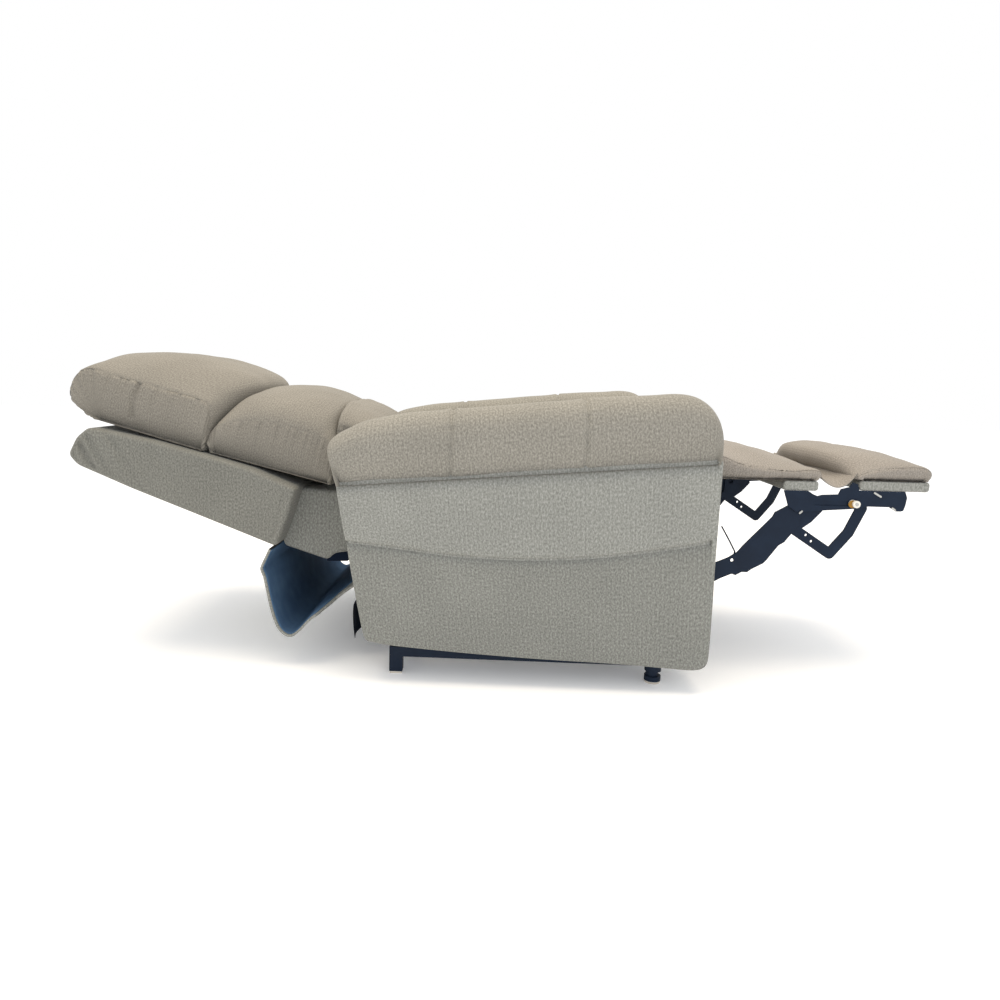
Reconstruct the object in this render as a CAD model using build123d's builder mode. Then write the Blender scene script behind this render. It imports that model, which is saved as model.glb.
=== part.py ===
"""Lift recliner chair, shown fully reclined with its footrest out.

+X points to the foot end, +Z up, and Y = 0 is the plane midway between the arms. All sizes are in
millimetres. Every link is drawn in the XZ plane and lies in its own layer, counted outwards from Y = 0,
so that the linkages fold past one another.
"""
import os
from math import atan2, cos, degrees, hypot, radians, sin

from build123d import *

# --- driving dimensions -------------------------------------------------------------------------
ARM_INNER = 265
ARM_BODY_OUTER = 394
ARM_PANEL_OUTER = 406
ARM_PAD_OUTER = 410
ARM_FRONT = 436
ARM_WALL = 14
SEAM_HEIGHT = 463  # height of the seam between arm body and arm pad at X = 0
SEAM_SLOPE = 0.093

RAIL_Y = (318, 343)
RAIL_Z = (40, 62)
CROSS_Z = (40, 54)
BASE_REAR = -235
BASE_FRONT = 366
BASE_CROSS_REAR_X = (-231, -175)
BASE_CROSS_FRONT_X = (285, 356)
POST = 29  # square rear posts
FRONT_LEG_X = 348
FRONT_LEG_RADIUS, FRONT_LEG_NECK = 18, 13
SOLE_HEIGHT = 5  # light metal glides under all four legs
LIFT_MOTOR_PIN_X = -190

# layers of the linkages: inner and outer distance from Y = 0
BASE_BRACKET = (186, 192)
REAR_LINK = (194, 200)
INNER_PLATE = (203, 209)
FRONT_LINK = (211, 217)
STAY_LINK = (234, 238)
MAIN_LINK = (240, 244)
DRIVE_LINK = (246, 250)
SIDE_PLATE = (252, 256)

# pivots (X, Z) in the reclined pose
LIFT_REAR_BASE = (292, 75)
LIFT_REAR_TOP = (-150, 110)
LIFT_FRONT_BASE = (338.99, 77.84)
LIFT_FRONT_TOP = (170, 100)
BACK_PIVOT = (-230, 340)
COVER_HINGE = (-226.48, 188.69)
COVER_FOLD = (-463, 71)
COVER_TOP = (-535, 262)
COVER_SHOULDER = (-526, 229)
LEG_PIVOT = (335, 382)
LEG_KNEE = (482, 226)
OTTOMAN_PIVOT = (662, 385)
STAY_PIVOT = (795, 398)
STAY_END = (667.22, 382.93)
CALF_HINGE = (465, 445)
CALF_CORD_HALF, CALF_CORD_RADIUS = 228, 7  # welt cord under the pad, which its flap turns on

# side outlines of the footrest plates in the reclined pose
MAIN_LINK_UPPER = [(474, 246), (504, 259), (521, 267), (540, 280), (552, 296), (611, 363),
                   (616, 374), (633, 384), (654, 397)]
MAIN_LINK_LOWER = [(676, 384), (670, 345), (642, 306), (630, 298), (606, 263), (600, 256),
                   (574, 241), (566, 234), (553, 234), (540, 226), (531, 229), (507, 218), (490, 208)]
STAY_ELBOWS = [STAY_PIVOT, (807, 387), (784, 331), (747, 282), (655, 341)]
STAY_HEAD = [(650, 344), (677, 335), (700, 353), (722, 379), (718, 391), (667, 398), (652, 386)]
STAY_WIDTH = 24
BRACKET_LOWER = [(629, 425), (641, 390), (660, 377), (716, 382), (777, 387), (815, 394), (861, 394),
                 (875, 385), (886, 385), (892, 387), (895, 398), (897, 416), (892, 429)]
BRACKET_UPPER = [(792, 429), (788, 443), (777, 447), (771, 436), (753, 431), (748, 419), (713, 417),
                 (704, 414), (693, 418), (682, 425)]
BRACKET_GROOVE = (738, 399)
BRACKET_RIVETS = [((825, 425), (839, 417)), ((667, 375), (671, 379)), ((867, 392), (873, 388))]
WIRE = [(503, 336), (523, 303), (536, 280), (535, 262)]
ROLLER_CENTRE, ROLLER = (786, 399), (8, 6)  # radius and width of the white roller of the groove
BUSHING_CENTRE, BUSHING = (779, 400), (8.5, 2.5)  # round plate that the roller overlaps
SMALL_HOLE = 3

# cross tubes of the carriage (X, Z)
REAR_TUBE = (-150, 338)
MIDDLE_TUBE = (100, 366)
FRONT_TUBE = (418, 378)
BRACE_TUBE = (185, 295)
LOW_TUBE = (322, 190)

# roll-top arm pads and the rear edge of the arms
PAD_HEIGHT = 137
PAD_REAR, PAD_FRONT = -368, 448
PAD_ROUNDING = 4
ARM_REAR_FOOT = (-282, 98)
ARM_REAR_TOP = (-343, 431)

# back shell seen from the side, along its top and then back along its underside
SHELL_TOP = [(-892, 526), (-761, 501), (-652, 474), (-544, 445), (-456, 402)]
SHELL_LOW = [(-494, 278), (-656, 353), (-810, 406), (-919, 451), (-944, 476), (-932, 508)]

# travel of the driven joints
LIFT_ANGLE = 34.91
BACK_ANGLE = 56
LEG_ANGLE = 94.43

PIN_RADIUS = 6
TUBE_RADIUS = 12.5
RUNNING_GAP = 0.06
OPEN_GAP = 1.2  # clearance in the holes of the two links that close a loop
LINK_WIDTH = 28
LIFT_LINK_WIDTH = 36

# actuators: height of the rod's line above its lever's pivot, and half of the rod's travel
LIFT_LEVER, LIFT_HALF_STROKE, LIFT_Y = 117, 36.3, 0
BACK_LEVER, BACK_HALF_STROKE, BACK_Y = -45, 23.1, 80
LEG_LEVER, LEG_HALF_STROKE, LEG_Y = -50, 50, -80
LEVER_WIDTH = 32
FORK = (8, 13)
ROD_RADIUS = 11
EYE_LENGTH = 38
BARREL_RADIUS = 21

PAD_HALF_WIDTH = 250
PILLOW_HALF_WIDTH = 290
SHELL_HALF_WIDTH = 328
SEAT_HALF_WIDTH = 260
LOWER_BACK_HALF_WIDTH = 258
COVER_HALF_WIDTH = 325

HANDSET_X = 220
HANDSET_Y = (411, 424)
HANDSET_Z = (345, 487)

os.makedirs("parts", exist_ok=True)


def save(piece, name):
    """Label a finished piece and write it as its own file."""
    piece.part.label = name
    export_step(piece.part, f"parts/{name}.step")


# --- drawing helpers -----------------------------------------------------------------------------
def side_planes(layer):
    """Planes of a mirrored pair of plates; extruding by the layer's thickness fills both."""
    inner, outer = layer
    return Plane.XZ.offset(-outer), Plane.XZ.offset(inner)


def thickness(layer):
    return layer[1] - layer[0]


def full_width(half):
    return Plane.XZ.offset(-half)


def strip(start, end, width):
    """A round-ended bar between two pivots, in the sketch being drawn."""
    along = Vector(*end) - Vector(*start)
    middle = Vector(*start) + along / 2
    with Locations(middle):
        SlotCenterToCenter(along.length, width, rotation=degrees(atan2(along.Y, along.X)))


def holes(points, radius):
    with Locations(*points):
        Circle(radius, mode=Mode.SUBTRACT)


def outline(points):
    """A closed straight-sided face through the points."""
    Polygon(*points, align=None)


def block(x, y, z):
    """A box between two limits along each axis, in the part being built."""
    centre = ((x[0] + x[1]) / 2, (y[0] + y[1]) / 2, (z[0] + z[1]) / 2)
    with Locations(centre):
        Box(x[1] - x[0], y[1] - y[0], z[1] - z[0])


def cross_tube(centre, half, radius=TUBE_RADIUS):
    """A round tube across the chair, from -half to +half."""
    with BuildSketch(full_width(half)) as section:
        with Locations(centre):
            Circle(radius)
    extrude(section.sketch, amount=2 * half)


def round_bar_x(y, z, span, radius, mode=Mode.ADD):
    """A round bar or bore along X between the two ends of span."""
    with BuildSketch(Plane.YZ.offset(span[0])) as section:
        with Locations((y, z)):
            Circle(radius)
    extrude(section.sketch, amount=span[1] - span[0], mode=mode)


def round_bar_y(centre, span, radius, mode=Mode.ADD):
    """A round bar or bore along Y between the two ends of span."""
    with BuildSketch(Plane.XZ.offset(-span[1])) as section:
        with Locations(centre):
            Circle(radius)
    extrude(section.sketch, amount=span[1] - span[0], mode=mode)


def upright_discs(x, span, radius):
    """A pair of round legs under the side rails, between two heights."""
    rail_middle = (RAIL_Y[0] + RAIL_Y[1]) / 2
    with BuildSketch(Plane.XY.offset(span[0])) as discs:
        with Locations((x, -rail_middle), (x, rail_middle)):
            Circle(radius)
    extrude(discs.sketch, amount=span[1] - span[0])


def mirrored_pins(centres, inner, outer, radius=PIN_RADIUS):
    with BuildSketch(*side_planes((inner, outer))) as sections:
        with Locations(*centres):
            Circle(radius)
    extrude(sections.sketch, amount=outer - inner)


def lever(pivot, lean, line, half_stroke, y):
    """A slotted fork on a torque tube, leaning by lean degrees towards +X.

    The rod's pin runs on a straight line at the height line above the pivot, so the slot is as
    long as the pin's distance from the pivot changes over its travel.
    """
    upwards = 1 if line > 0 else -1
    direction = Vector(sin(radians(lean)), upwards * cos(radians(lean)))
    reach = hypot(line, half_stroke)
    tip = Vector(*pivot) + direction * (reach + PIN_RADIUS)
    slot_centre = Vector(*pivot) + direction * (abs(line) + reach) / 2
    slot_length = reach - abs(line) + 2 * PIN_RADIUS + 6
    with BuildSketch(Plane.XZ.offset(-y - FORK[1]), Plane.XZ.offset(-y + FORK[0])) as fork:
        strip(pivot, (tip.X, tip.Y), LEVER_WIDTH)
        with Locations(slot_centre):
            SlotOverall(slot_length, 2 * PIN_RADIUS + 8,
                        rotation=degrees(atan2(direction.Y, direction.X)), mode=Mode.SUBTRACT)
    extrude(fork.sketch, amount=thickness(FORK))


def barrel(y, z, rear, front, clevis):
    """An actuator housing along X: outer tube bored for its rod, gear head, motor and rear lug."""
    towards = 1 if front > rear else -1
    round_bar_x(y, z, sorted((rear, front)), BARREL_RADIUS)
    head = sorted((rear, rear + towards * 60))
    block(head, (y - 26, y + 26), (z - 21, z + 21))
    lug = sorted((rear, clevis - towards * 8))
    block(lug, (y - 7, y + 7), (z - 9, z + 9))
    bore = sorted((front, rear + towards * 25))
    round_bar_x(y, z, bore, ROD_RADIUS + 0.3, mode=Mode.SUBTRACT)
    round_bar_y((clevis, z), (y - 10, y + 10), PIN_RADIUS + RUNNING_GAP, mode=Mode.SUBTRACT)


def rod(y, z, inside, pin):
    """An actuator rod along X with a flat eye and the cross pin that works the lever."""
    towards = 1 if pin > inside else -1
    neck = pin - towards * EYE_LENGTH
    round_bar_x(y, z, sorted((inside, neck)), ROD_RADIUS)
    block(sorted((neck, pin)), (y - 6, y + 6), (z - 9, z + 9))
    round_bar_y((pin, z), (y - 6, y + 6), 9)
    round_bar_y((pin, z), (y - 16, y + 16), PIN_RADIUS)


def cushion(base_back, base_front, top_front, top_back, bulges, half_width, side_scale):
    """Loft a puffed cushion across the chair.

    The middle section is four-cornered with three bowed sides; the sections beside it are the
    same shape, drawn in towards the middle of the base, so the cushion crowns and its sides are
    pulled in to the gusset.
    """
    front_bulge, crown, back_bulge = (Vector(*p) for p in bulges)
    corners = [Vector(*p) for p in (base_back, base_front, top_front, top_back)]
    centre = (corners[0] + corners[1]) / 2
    sections = []
    for share in (-1, -0.86, 0, 0.86, 1):
        scale = 1 - (1 - side_scale) * abs(share) ** 6
        a, b, c, d = (centre + (p - centre) * scale for p in corners)
        fb, cr, bb = (centre + (p - centre) * scale for p in (front_bulge, crown, back_bulge))
        with BuildSketch(Plane.XZ.offset(-share * half_width)) as section:
            with BuildLine():
                Line(a, b)
                ThreePointArc(b, fb, c)
                ThreePointArc(c, cr, d)
                ThreePointArc(d, bb, a)
            make_face()
        sections.append(section.sketch)
    loft(sections)


# --- base ----------------------------------------------------------------------------------------
def make_base():
    ears_x = (LIFT_MOTOR_PIN_X - 15, LIFT_MOTOR_PIN_X + 12)
    lift_line = LIFT_REAR_BASE[1] + LIFT_LEVER
    with BuildPart() as base_frame:
        for side in (-1, 1):
            rail_y = sorted((side * RAIL_Y[0], side * RAIL_Y[1]))
            block((BASE_REAR, BASE_FRONT), rail_y, RAIL_Z)
            block((BASE_REAR, BASE_REAR + POST), rail_y, (SOLE_HEIGHT, RAIL_Z[1]))
            ear_y = sorted((side * 12, side * 17))
            block(ears_x, ear_y, (CROSS_Z[1] - 2, lift_line + 12))
        cross_half = (-RAIL_Y[0], RAIL_Y[0])
        block(BASE_CROSS_REAR_X, cross_half, CROSS_Z)
        block(BASE_CROSS_FRONT_X, cross_half, CROSS_Z)
        with BuildSketch(*side_planes(BASE_BRACKET)):
            strip(LIFT_REAR_BASE, LIFT_FRONT_BASE, 34)
            outline([(278, CROSS_Z[1] - 2), (354, CROSS_Z[1] - 2), (354, 78), (278, 75)])
            holes([LIFT_REAR_BASE], TUBE_RADIUS + RUNNING_GAP)
            holes([LIFT_FRONT_BASE], PIN_RADIUS + RUNNING_GAP)
        extrude(amount=thickness(BASE_BRACKET))
        round_bar_y((LIFT_MOTOR_PIN_X, lift_line), (-17, 17), PIN_RADIUS + RUNNING_GAP,
                    mode=Mode.SUBTRACT)
    save(base_frame, "base_frame")

    foot, neck, top = SOLE_HEIGHT, SOLE_HEIGHT + 11, SOLE_HEIGHT + 22
    with BuildPart() as front_legs:
        upright_discs(FRONT_LEG_X, (foot, neck), FRONT_LEG_RADIUS)
        upright_discs(FRONT_LEG_X - 2, (neck, top), FRONT_LEG_NECK)
        upright_discs(FRONT_LEG_X, (top, RAIL_Z[0]), FRONT_LEG_RADIUS)
    save(front_legs, "front_legs")

    with BuildPart() as floor_glides:
        upright_discs(FRONT_LEG_X, (0, SOLE_HEIGHT), FRONT_LEG_RADIUS - 1)
        for side in (-1, 1):
            sole_y = sorted((side * (RAIL_Y[0] + 1), side * (RAIL_Y[1] - 1)))
            block((BASE_REAR + 1, BASE_REAR + POST - 1), sole_y, (0, SOLE_HEIGHT))
    save(floor_glides, "floor_glides")

    with BuildPart() as base_pins:
        mirrored_pins([LIFT_FRONT_BASE], BASE_BRACKET[0] - 2, FRONT_LINK[1] + 2)
        round_bar_y((LIFT_MOTOR_PIN_X, lift_line), (-19, 19), PIN_RADIUS)
    save(base_pins, "base_pins")

    with BuildPart() as lift_motor:
        barrel(LIFT_Y, lift_line, LIFT_MOTOR_PIN_X + 24, 110, LIFT_MOTOR_PIN_X)
    save(lift_motor, "lift_motor")

    start = LIFT_REAR_BASE[0] - LIFT_HALF_STROKE
    with BuildPart() as lift_motor_rod:
        rod(LIFT_Y, lift_line, -90, start)
    save(lift_motor_rod, "lift_motor_rod")


def make_lift_links():
    with BuildPart() as lift_rear_links:
        with BuildSketch(*side_planes(REAR_LINK)):
            strip(LIFT_REAR_BASE, LIFT_REAR_TOP, LIFT_LINK_WIDTH - 2)
            holes([LIFT_REAR_TOP], PIN_RADIUS + RUNNING_GAP)
        extrude(amount=thickness(REAR_LINK))
        cross_tube(LIFT_REAR_BASE, REAR_LINK[0])
        lever(LIFT_REAR_BASE, -LIFT_ANGLE / 2, LIFT_LEVER, LIFT_HALF_STROKE, LIFT_Y)
    save(lift_rear_links, "lift_rear_links")

    with BuildPart() as lift_front_links:
        with BuildSketch(*side_planes(FRONT_LINK)):
            strip(LIFT_FRONT_BASE, LIFT_FRONT_TOP, 30)
            holes([LIFT_FRONT_BASE], PIN_RADIUS + RUNNING_GAP)
            holes([LIFT_FRONT_TOP], PIN_RADIUS + OPEN_GAP)
        extrude(amount=thickness(FRONT_LINK))
    save(lift_front_links, "lift_front_links")


# --- carriage ------------------------------------------------------------------------------------
def make_carriage():
    with BuildPart() as carriage_frame:
        with BuildSketch(*side_planes(INNER_PLATE)):
            strip(LIFT_REAR_TOP, LIFT_FRONT_TOP, LIFT_LINK_WIDTH)
            strip(LIFT_REAR_TOP, REAR_TUBE, LIFT_LINK_WIDTH)
            strip((-30, 107), (-30, 350), LIFT_LINK_WIDTH)
            strip((90, 102), MIDDLE_TUBE, LIFT_LINK_WIDTH)
            strip(REAR_TUBE, MIDDLE_TUBE, LIFT_LINK_WIDTH)
            strip(LIFT_FRONT_TOP, LOW_TUBE, 30)
            strip(LOW_TUBE, BRACE_TUBE, 30)
            strip(BRACE_TUBE, MIDDLE_TUBE, 30)
            holes([LIFT_REAR_TOP, LIFT_FRONT_TOP], PIN_RADIUS + RUNNING_GAP)
        extrude(amount=thickness(INNER_PLATE))
        for centre in (REAR_TUBE, MIDDLE_TUBE):
            cross_tube(centre, ARM_INNER)
        for centre in (BRACE_TUBE, LOW_TUBE):
            cross_tube(centre, INNER_PLATE[0])
        leg_line = LEG_PIVOT[1] + LEG_LEVER
        back_line = BACK_PIVOT[1] + BACK_LEVER
        for offset in (-17, 12):
            block((-150, -108), (LEG_Y + offset, LEG_Y + offset + 5), (leg_line - 12, leg_line + 12))
            block((148, 185), (BACK_Y + offset, BACK_Y + offset + 5), (back_line - 12, back_line + 12))
        round_bar_y((-120, leg_line), (LEG_Y - 17, LEG_Y + 17), PIN_RADIUS + RUNNING_GAP,
                    mode=Mode.SUBTRACT)
        round_bar_y((160, back_line), (BACK_Y - 17, BACK_Y + 17), PIN_RADIUS + RUNNING_GAP,
                    mode=Mode.SUBTRACT)
    save(carriage_frame, "carriage_frame")

    with BuildPart() as seat_side_plates:
        with BuildSketch(*side_planes(SIDE_PLATE)):
            strip(BACK_PIVOT, FRONT_TUBE, 40)
            with Locations(LEG_PIVOT):
                Circle(19)
            holes([BACK_PIVOT, LEG_PIVOT, REAR_TUBE, MIDDLE_TUBE], TUBE_RADIUS + RUNNING_GAP)
        extrude(amount=thickness(SIDE_PLATE))
        cross_tube(FRONT_TUBE, SIDE_PLATE[0])
    save(seat_side_plates, "seat_side_plates")

    with BuildPart() as carriage_pins:
        mirrored_pins([LIFT_REAR_TOP], REAR_LINK[0] - 2, INNER_PLATE[1] + 2)
        mirrored_pins([LIFT_FRONT_TOP], INNER_PLATE[0] - 2, FRONT_LINK[1] + 2)
        round_bar_y((-120, leg_line), (LEG_Y - 19, LEG_Y + 19), PIN_RADIUS)
        round_bar_y((160, back_line), (BACK_Y - 19, BACK_Y + 19), PIN_RADIUS)
    save(carriage_pins, "carriage_pins")

    with BuildPart() as leg_motor:
        barrel(LEG_Y, leg_line, -96, 250, -120)
    save(leg_motor, "leg_motor")

    with BuildPart() as leg_motor_rod:
        rod(LEG_Y, leg_line, 60, LEG_PIVOT[0] + LEG_HALF_STROKE)
    save(leg_motor_rod, "leg_motor_rod")

    with BuildPart() as back_motor:
        barrel(BACK_Y, back_line, 136, -140, 160)
    save(back_motor, "back_motor")

    with BuildPart() as back_motor_rod:
        rod(BACK_Y, back_line, 60, BACK_PIVOT[0] + BACK_HALF_STROKE)
    save(back_motor_rod, "back_motor_rod")

    with BuildPart() as control_box:
        block((-110, 10), (120, 190), (140, 185))
        fillet(control_box.edges().filter_by(Axis.Z), radius=6)
        with BuildSketch(Plane.YZ.offset(-110)):
            with Locations((155, 162)):
                Circle(5)
        extrude(amount=14, mode=Mode.SUBTRACT)
        block((-40, 0), (190, INNER_PLATE[0]), (150, 175))
    save(control_box, "control_box")


def make_seat():
    with BuildPart() as seat_frame:
        with BuildSketch(Plane.XY.offset(402)):
            with Locations((115, 0)):
                Rectangle(610, 2 * SEAT_HALF_WIDTH)
                Rectangle(550, 2 * SEAT_HALF_WIDTH - 60, mode=Mode.SUBTRACT)
        extrude(amount=20)
    save(seat_frame, "seat_frame")

    rows = 22
    pitch = 24.5
    with BuildPart() as seat_springs:
        with BuildSketch(Plane.XY.offset(408)):
            for lane in range(5):
                middle = (lane - 2) * 92
                for row in range(rows):
                    x = -145 + row * pitch
                    with Locations((x, middle)):
                        Rectangle(4, 56)
                    if row < rows - 1:
                        turn = 26 if row % 2 else -26
                        with Locations((x + pitch / 2, middle + turn)):
                            Rectangle(pitch + 4, 4)
                for end in (-151, -145 + (rows - 1) * pitch + 8):
                    with Locations((end, middle)):
                        Rectangle(16, 4)
        extrude(amount=4)
    save(seat_springs, "seat_springs")

    with BuildPart() as seat_cushion:
        for share in (-1, -0.86, 0, 0.86, 1):
            fullness = 1 - 0.28 * abs(share) ** 6
            with BuildSketch(Plane.XZ.offset(-share * (SEAT_HALF_WIDTH - 2))):
                with BuildLine():
                    rise = 24 * fullness
                    front = 72 * fullness
                    Line((-200, 424), (440, 424))
                    ThreePointArc((440, 424), (452, 424 + front * 0.55), (432, 424 + front))
                    ThreePointArc((432, 424 + front), (150, 438 + front * 0.8), (-196, 424 + rise))
                    ThreePointArc((-196, 424 + rise), (-204, 424 + rise / 2), (-200, 424))
                make_face()
        loft()
    save(seat_cushion, "seat_cushion")


# --- arms ----------------------------------------------------------------------------------------
def seam(x):
    """Height of the straight seam between the arm body and its pad."""
    return SEAM_HEIGHT + SEAM_SLOPE * x


def arm_outline(gap):
    """Side outline of the arm body, kept gap below the pad seam."""
    return [
        ARM_REAR_FOOT, (-219, 82), (83, 65), (ARM_FRONT, 58), (ARM_FRONT, seam(ARM_FRONT) - gap),
        (ARM_REAR_TOP[0], seam(ARM_REAR_TOP[0]) - gap), (-320, 309), (-301, 208),
    ]


def arm_plane(side, distance):
    """Plane at a distance from the middle, from which a positive extrusion runs outwards."""
    if side < 0:
        return Plane.XZ.offset(distance)
    return Plane(origin=(0, distance, 0), x_dir=(-1, 0, 0), z_dir=(0, 1, 0))


def arm_points(side, points):
    """Points of a side outline in the local axes of arm_plane."""
    return points if side < 0 else [(-x, z) for x, z in points]


def make_arm(side, name):
    depth = ARM_BODY_OUTER - ARM_INNER
    with BuildPart() as arm_body:
        with BuildSketch(arm_plane(side, ARM_INNER)):
            outline(arm_points(side, arm_outline(1)))
        extrude(amount=depth)
        hollow = [(-266, 40), (ARM_FRONT - ARM_WALL, 40), (ARM_FRONT - ARM_WALL, 470),
                  (-322, 412), (-302, 309), (-284, 208)]
        with BuildSketch(arm_plane(side, ARM_INNER + ARM_WALL)):
            outline(arm_points(side, hollow))
        extrude(amount=depth - 2 * ARM_WALL, mode=Mode.SUBTRACT)
    save(arm_body, f"{name}_arm_body")

    panel = ARM_PANEL_OUTER - ARM_BODY_OUTER
    lower = [(-281, 98), (-219, 83), (83, 66), (430, 59), (430, 333), (247, 297), (80, 283),
             (-102, 286), (-206, 296), (-315, 306), (-300, 208)]
    upper = [(-316, 312), (-206, 302), (-102, 292), (80, 289), (247, 303), (430, 339),
             (430, seam(430) - 3), (-338, seam(-338) - 3)]
    for points, part_name in ((lower, "lower_panel"), (upper, "upper_panel")):
        with BuildPart() as side_panel:
            with BuildSketch(arm_plane(side, ARM_BODY_OUTER)):
                outline(arm_points(side, points))
            extrude(amount=panel)
            outer_face = side_panel.faces().sort_by(Axis.Y)[0 if side < 0 else -1]
            chamfer(outer_face.edges(), length=panel - 3, length2=panel + 6)
        save(side_panel, f"{name}_arm_{part_name}")

    with BuildPart() as top_pad:
        rings = []
        for x in (-364, -352, -334, -300, -240, -120, 60, 240, 340, 390, 418, 436, 445):
            rings.append(pad_ring(x, side))
        loft(rings, ruled=True)
        split(bisect_by=Plane(origin=(0, 0, SEAM_HEIGHT), z_dir=(-SEAM_SLOPE, 0, 1)), keep=Keep.TOP)
    save(top_pad, f"{name}_arm_top_pad")


def pad_ring(x, side):
    """Cross-section of the roll-top pad: full along the arm, rounded off towards both ends."""
    middle, half = (PAD_REAR + PAD_FRONT) / 2, (PAD_FRONT - PAD_REAR) / 2
    fullness = (1 - abs((x - middle) / half) ** PAD_ROUNDING) ** (1 / PAD_ROUNDING)
    height = PAD_HEIGHT * fullness
    bottom = seam(x) - 8 + 30 * (1 - fullness)
    shoulder = bottom + 0.5 * height
    drawn = 14 * (1 - fullness)
    y_in, y_out = side * (ARM_INNER + 2 + drawn), side * (ARM_PAD_OUTER - 6 - drawn)
    with BuildSketch(Plane.YZ.offset(x)) as ring:
        with BuildLine():
            Line((y_in, bottom), (y_out, bottom))
            ThreePointArc((y_out, bottom), (y_out + side * 6, (bottom + shoulder) / 2),
                          (y_out, shoulder))
            ThreePointArc((y_out, shoulder), ((y_in + y_out) / 2, bottom + height + 8),
                          (y_in, shoulder))
            Line((y_in, shoulder), (y_in, bottom))
        make_face()
    return ring.sketch


def make_arm_pairs():
    """Pieces that are the same in both arms: the timber frames and the front panels."""
    with BuildPart() as arm_frames:
        for side in (-1, 1):
            frame_y = sorted((side * (ARM_INNER + 20), side * (ARM_BODY_OUTER - 20)))
            board = [(-270, 108), (410, 90), (410, 462), (-306, 400), (-290, 309)]
            with BuildSketch(arm_plane(side, 322)):
                outline(arm_points(side, board))
            extrude(amount=15)
            block((385, 410), frame_y, (88, 455))
            block((-262, -238), frame_y, (112, 395))
    save(arm_frames, "arm_frames")

    with BuildPart() as arm_front_panels:
        for side in (-1, 1):
            front_y = sorted((side * (ARM_INNER + 3), side * (ARM_PANEL_OUTER - 2)))
            block((ARM_FRONT, ARM_FRONT + 9), front_y, (60, seam(ARM_FRONT) - 3))
        outer_edges = arm_front_panels.edges().filter_by(Axis.Z).group_by(Axis.X)[-1]
        fillet(outer_edges, radius=6)
    save(arm_front_panels, "arm_front_panels")


# --- back ----------------------------------------------------------------------------------------
def make_back():
    with BuildPart() as back_brackets:
        with BuildSketch(*side_planes((244, 248))):
            strip(BACK_PIVOT, (-420, 352), 40)
            strip((-420, 352), (-600, 415), 34)
        extrude(amount=4)
        cross_tube(BACK_PIVOT, SIDE_PLATE[1] + 2)
        lever(BACK_PIVOT, BACK_ANGLE / 2, BACK_LEVER, BACK_HALF_STROKE, BACK_Y)
    save(back_brackets, "back_brackets")

    with BuildPart() as back_frame:
        rail_start, rail_end = (-470, 372), (-860, 495)
        slope = (rail_end[1] - rail_start[1]) / (rail_end[0] - rail_start[0])
        with BuildSketch(*side_planes((249, 275))):
            strip(rail_start, rail_end, 26)
        extrude(amount=26)
        for x in (-650, -750, -850):
            z = rail_start[1] + slope * (x - rail_start[0])
            block((x - 20, x + 20), (-250, 250), (z - 9, z + 9))
    save(back_frame, "back_frame")

    with BuildPart() as back_shell:
        with BuildSketch(full_width(SHELL_HALF_WIDTH)):
            outline(SHELL_TOP + [(-473, 337)] + SHELL_LOW)
        extrude(amount=2 * SHELL_HALF_WIDTH)
        cavity = [(-875, 512), (-640, 456), (-535, 428), (-430, 384), (-430, 300), (-500, 300),
                  (-655, 371), (-810, 424), (-905, 462), (-915, 478), (-905, 500)]
        with BuildSketch(full_width(SHELL_HALF_WIDTH - 26)):
            outline(cavity)
        extrude(amount=2 * (SHELL_HALF_WIDTH - 26), mode=Mode.SUBTRACT)
        ends = back_shell.faces().sort_by(Axis.Y)
        fillet(ends[0].edges() + ends[-1].edges(), radius=9)
    save(back_shell, "back_shell")

    with BuildPart() as lower_back_panel:
        with BuildSketch(full_width(LOWER_BACK_HALF_WIDTH)):
            outline([(-448, 398), (-360, 393), (-300, 372), (-264, 366), (-264, 318), (-349, 270),
                     (-388, 247), (-411, 239), (-488, 263), (-468, 330)])
        extrude(amount=2 * LOWER_BACK_HALF_WIDTH)
        with BuildSketch(*side_planes((243, 249))):
            strip(BACK_PIVOT, (-420, 352), 44)
            strip((-420, 352), (-500, 380), 40)
        extrude(amount=6, mode=Mode.SUBTRACT)
    save(lower_back_panel, "lower_back_panel")

    with BuildPart() as head_pillow:
        cushion((-918, 550), (-657, 478), (-576, 640), (-930, 660),
                ((-634, 572), (-760, 699), (-949, 606)), PILLOW_HALF_WIDTH + 8, 0.93)
    save(head_pillow, "head_pillow")

    with BuildPart() as lumbar_pillow:
        cushion((-650, 477), (-376, 409), (-372, 594), (-584, 606),
                ((-362, 508), (-478, 626), (-630, 548)), PILLOW_HALF_WIDTH, 0.93)
        wide = (LOWER_BACK_HALF_WIDTH + 2, PILLOW_HALF_WIDTH + 20)
        with BuildSketch(*side_planes(wide)):
            outline([(-468, 395), (-384, 592), (-370, 625), (-330, 625), (-330, 395)])
        extrude(amount=thickness(wide), mode=Mode.SUBTRACT)
    save(lumbar_pillow, "lumbar_pillow")

    with BuildPart() as lower_pillow:
        cushion((-370, 409), (-318, 440), (-268, 548), (-368, 592),
                ((-296, 490), (-312, 580), (-360, 500)), LOWER_BACK_HALF_WIDTH, 0.93)
    save(lower_pillow, "lower_pillow")


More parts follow.
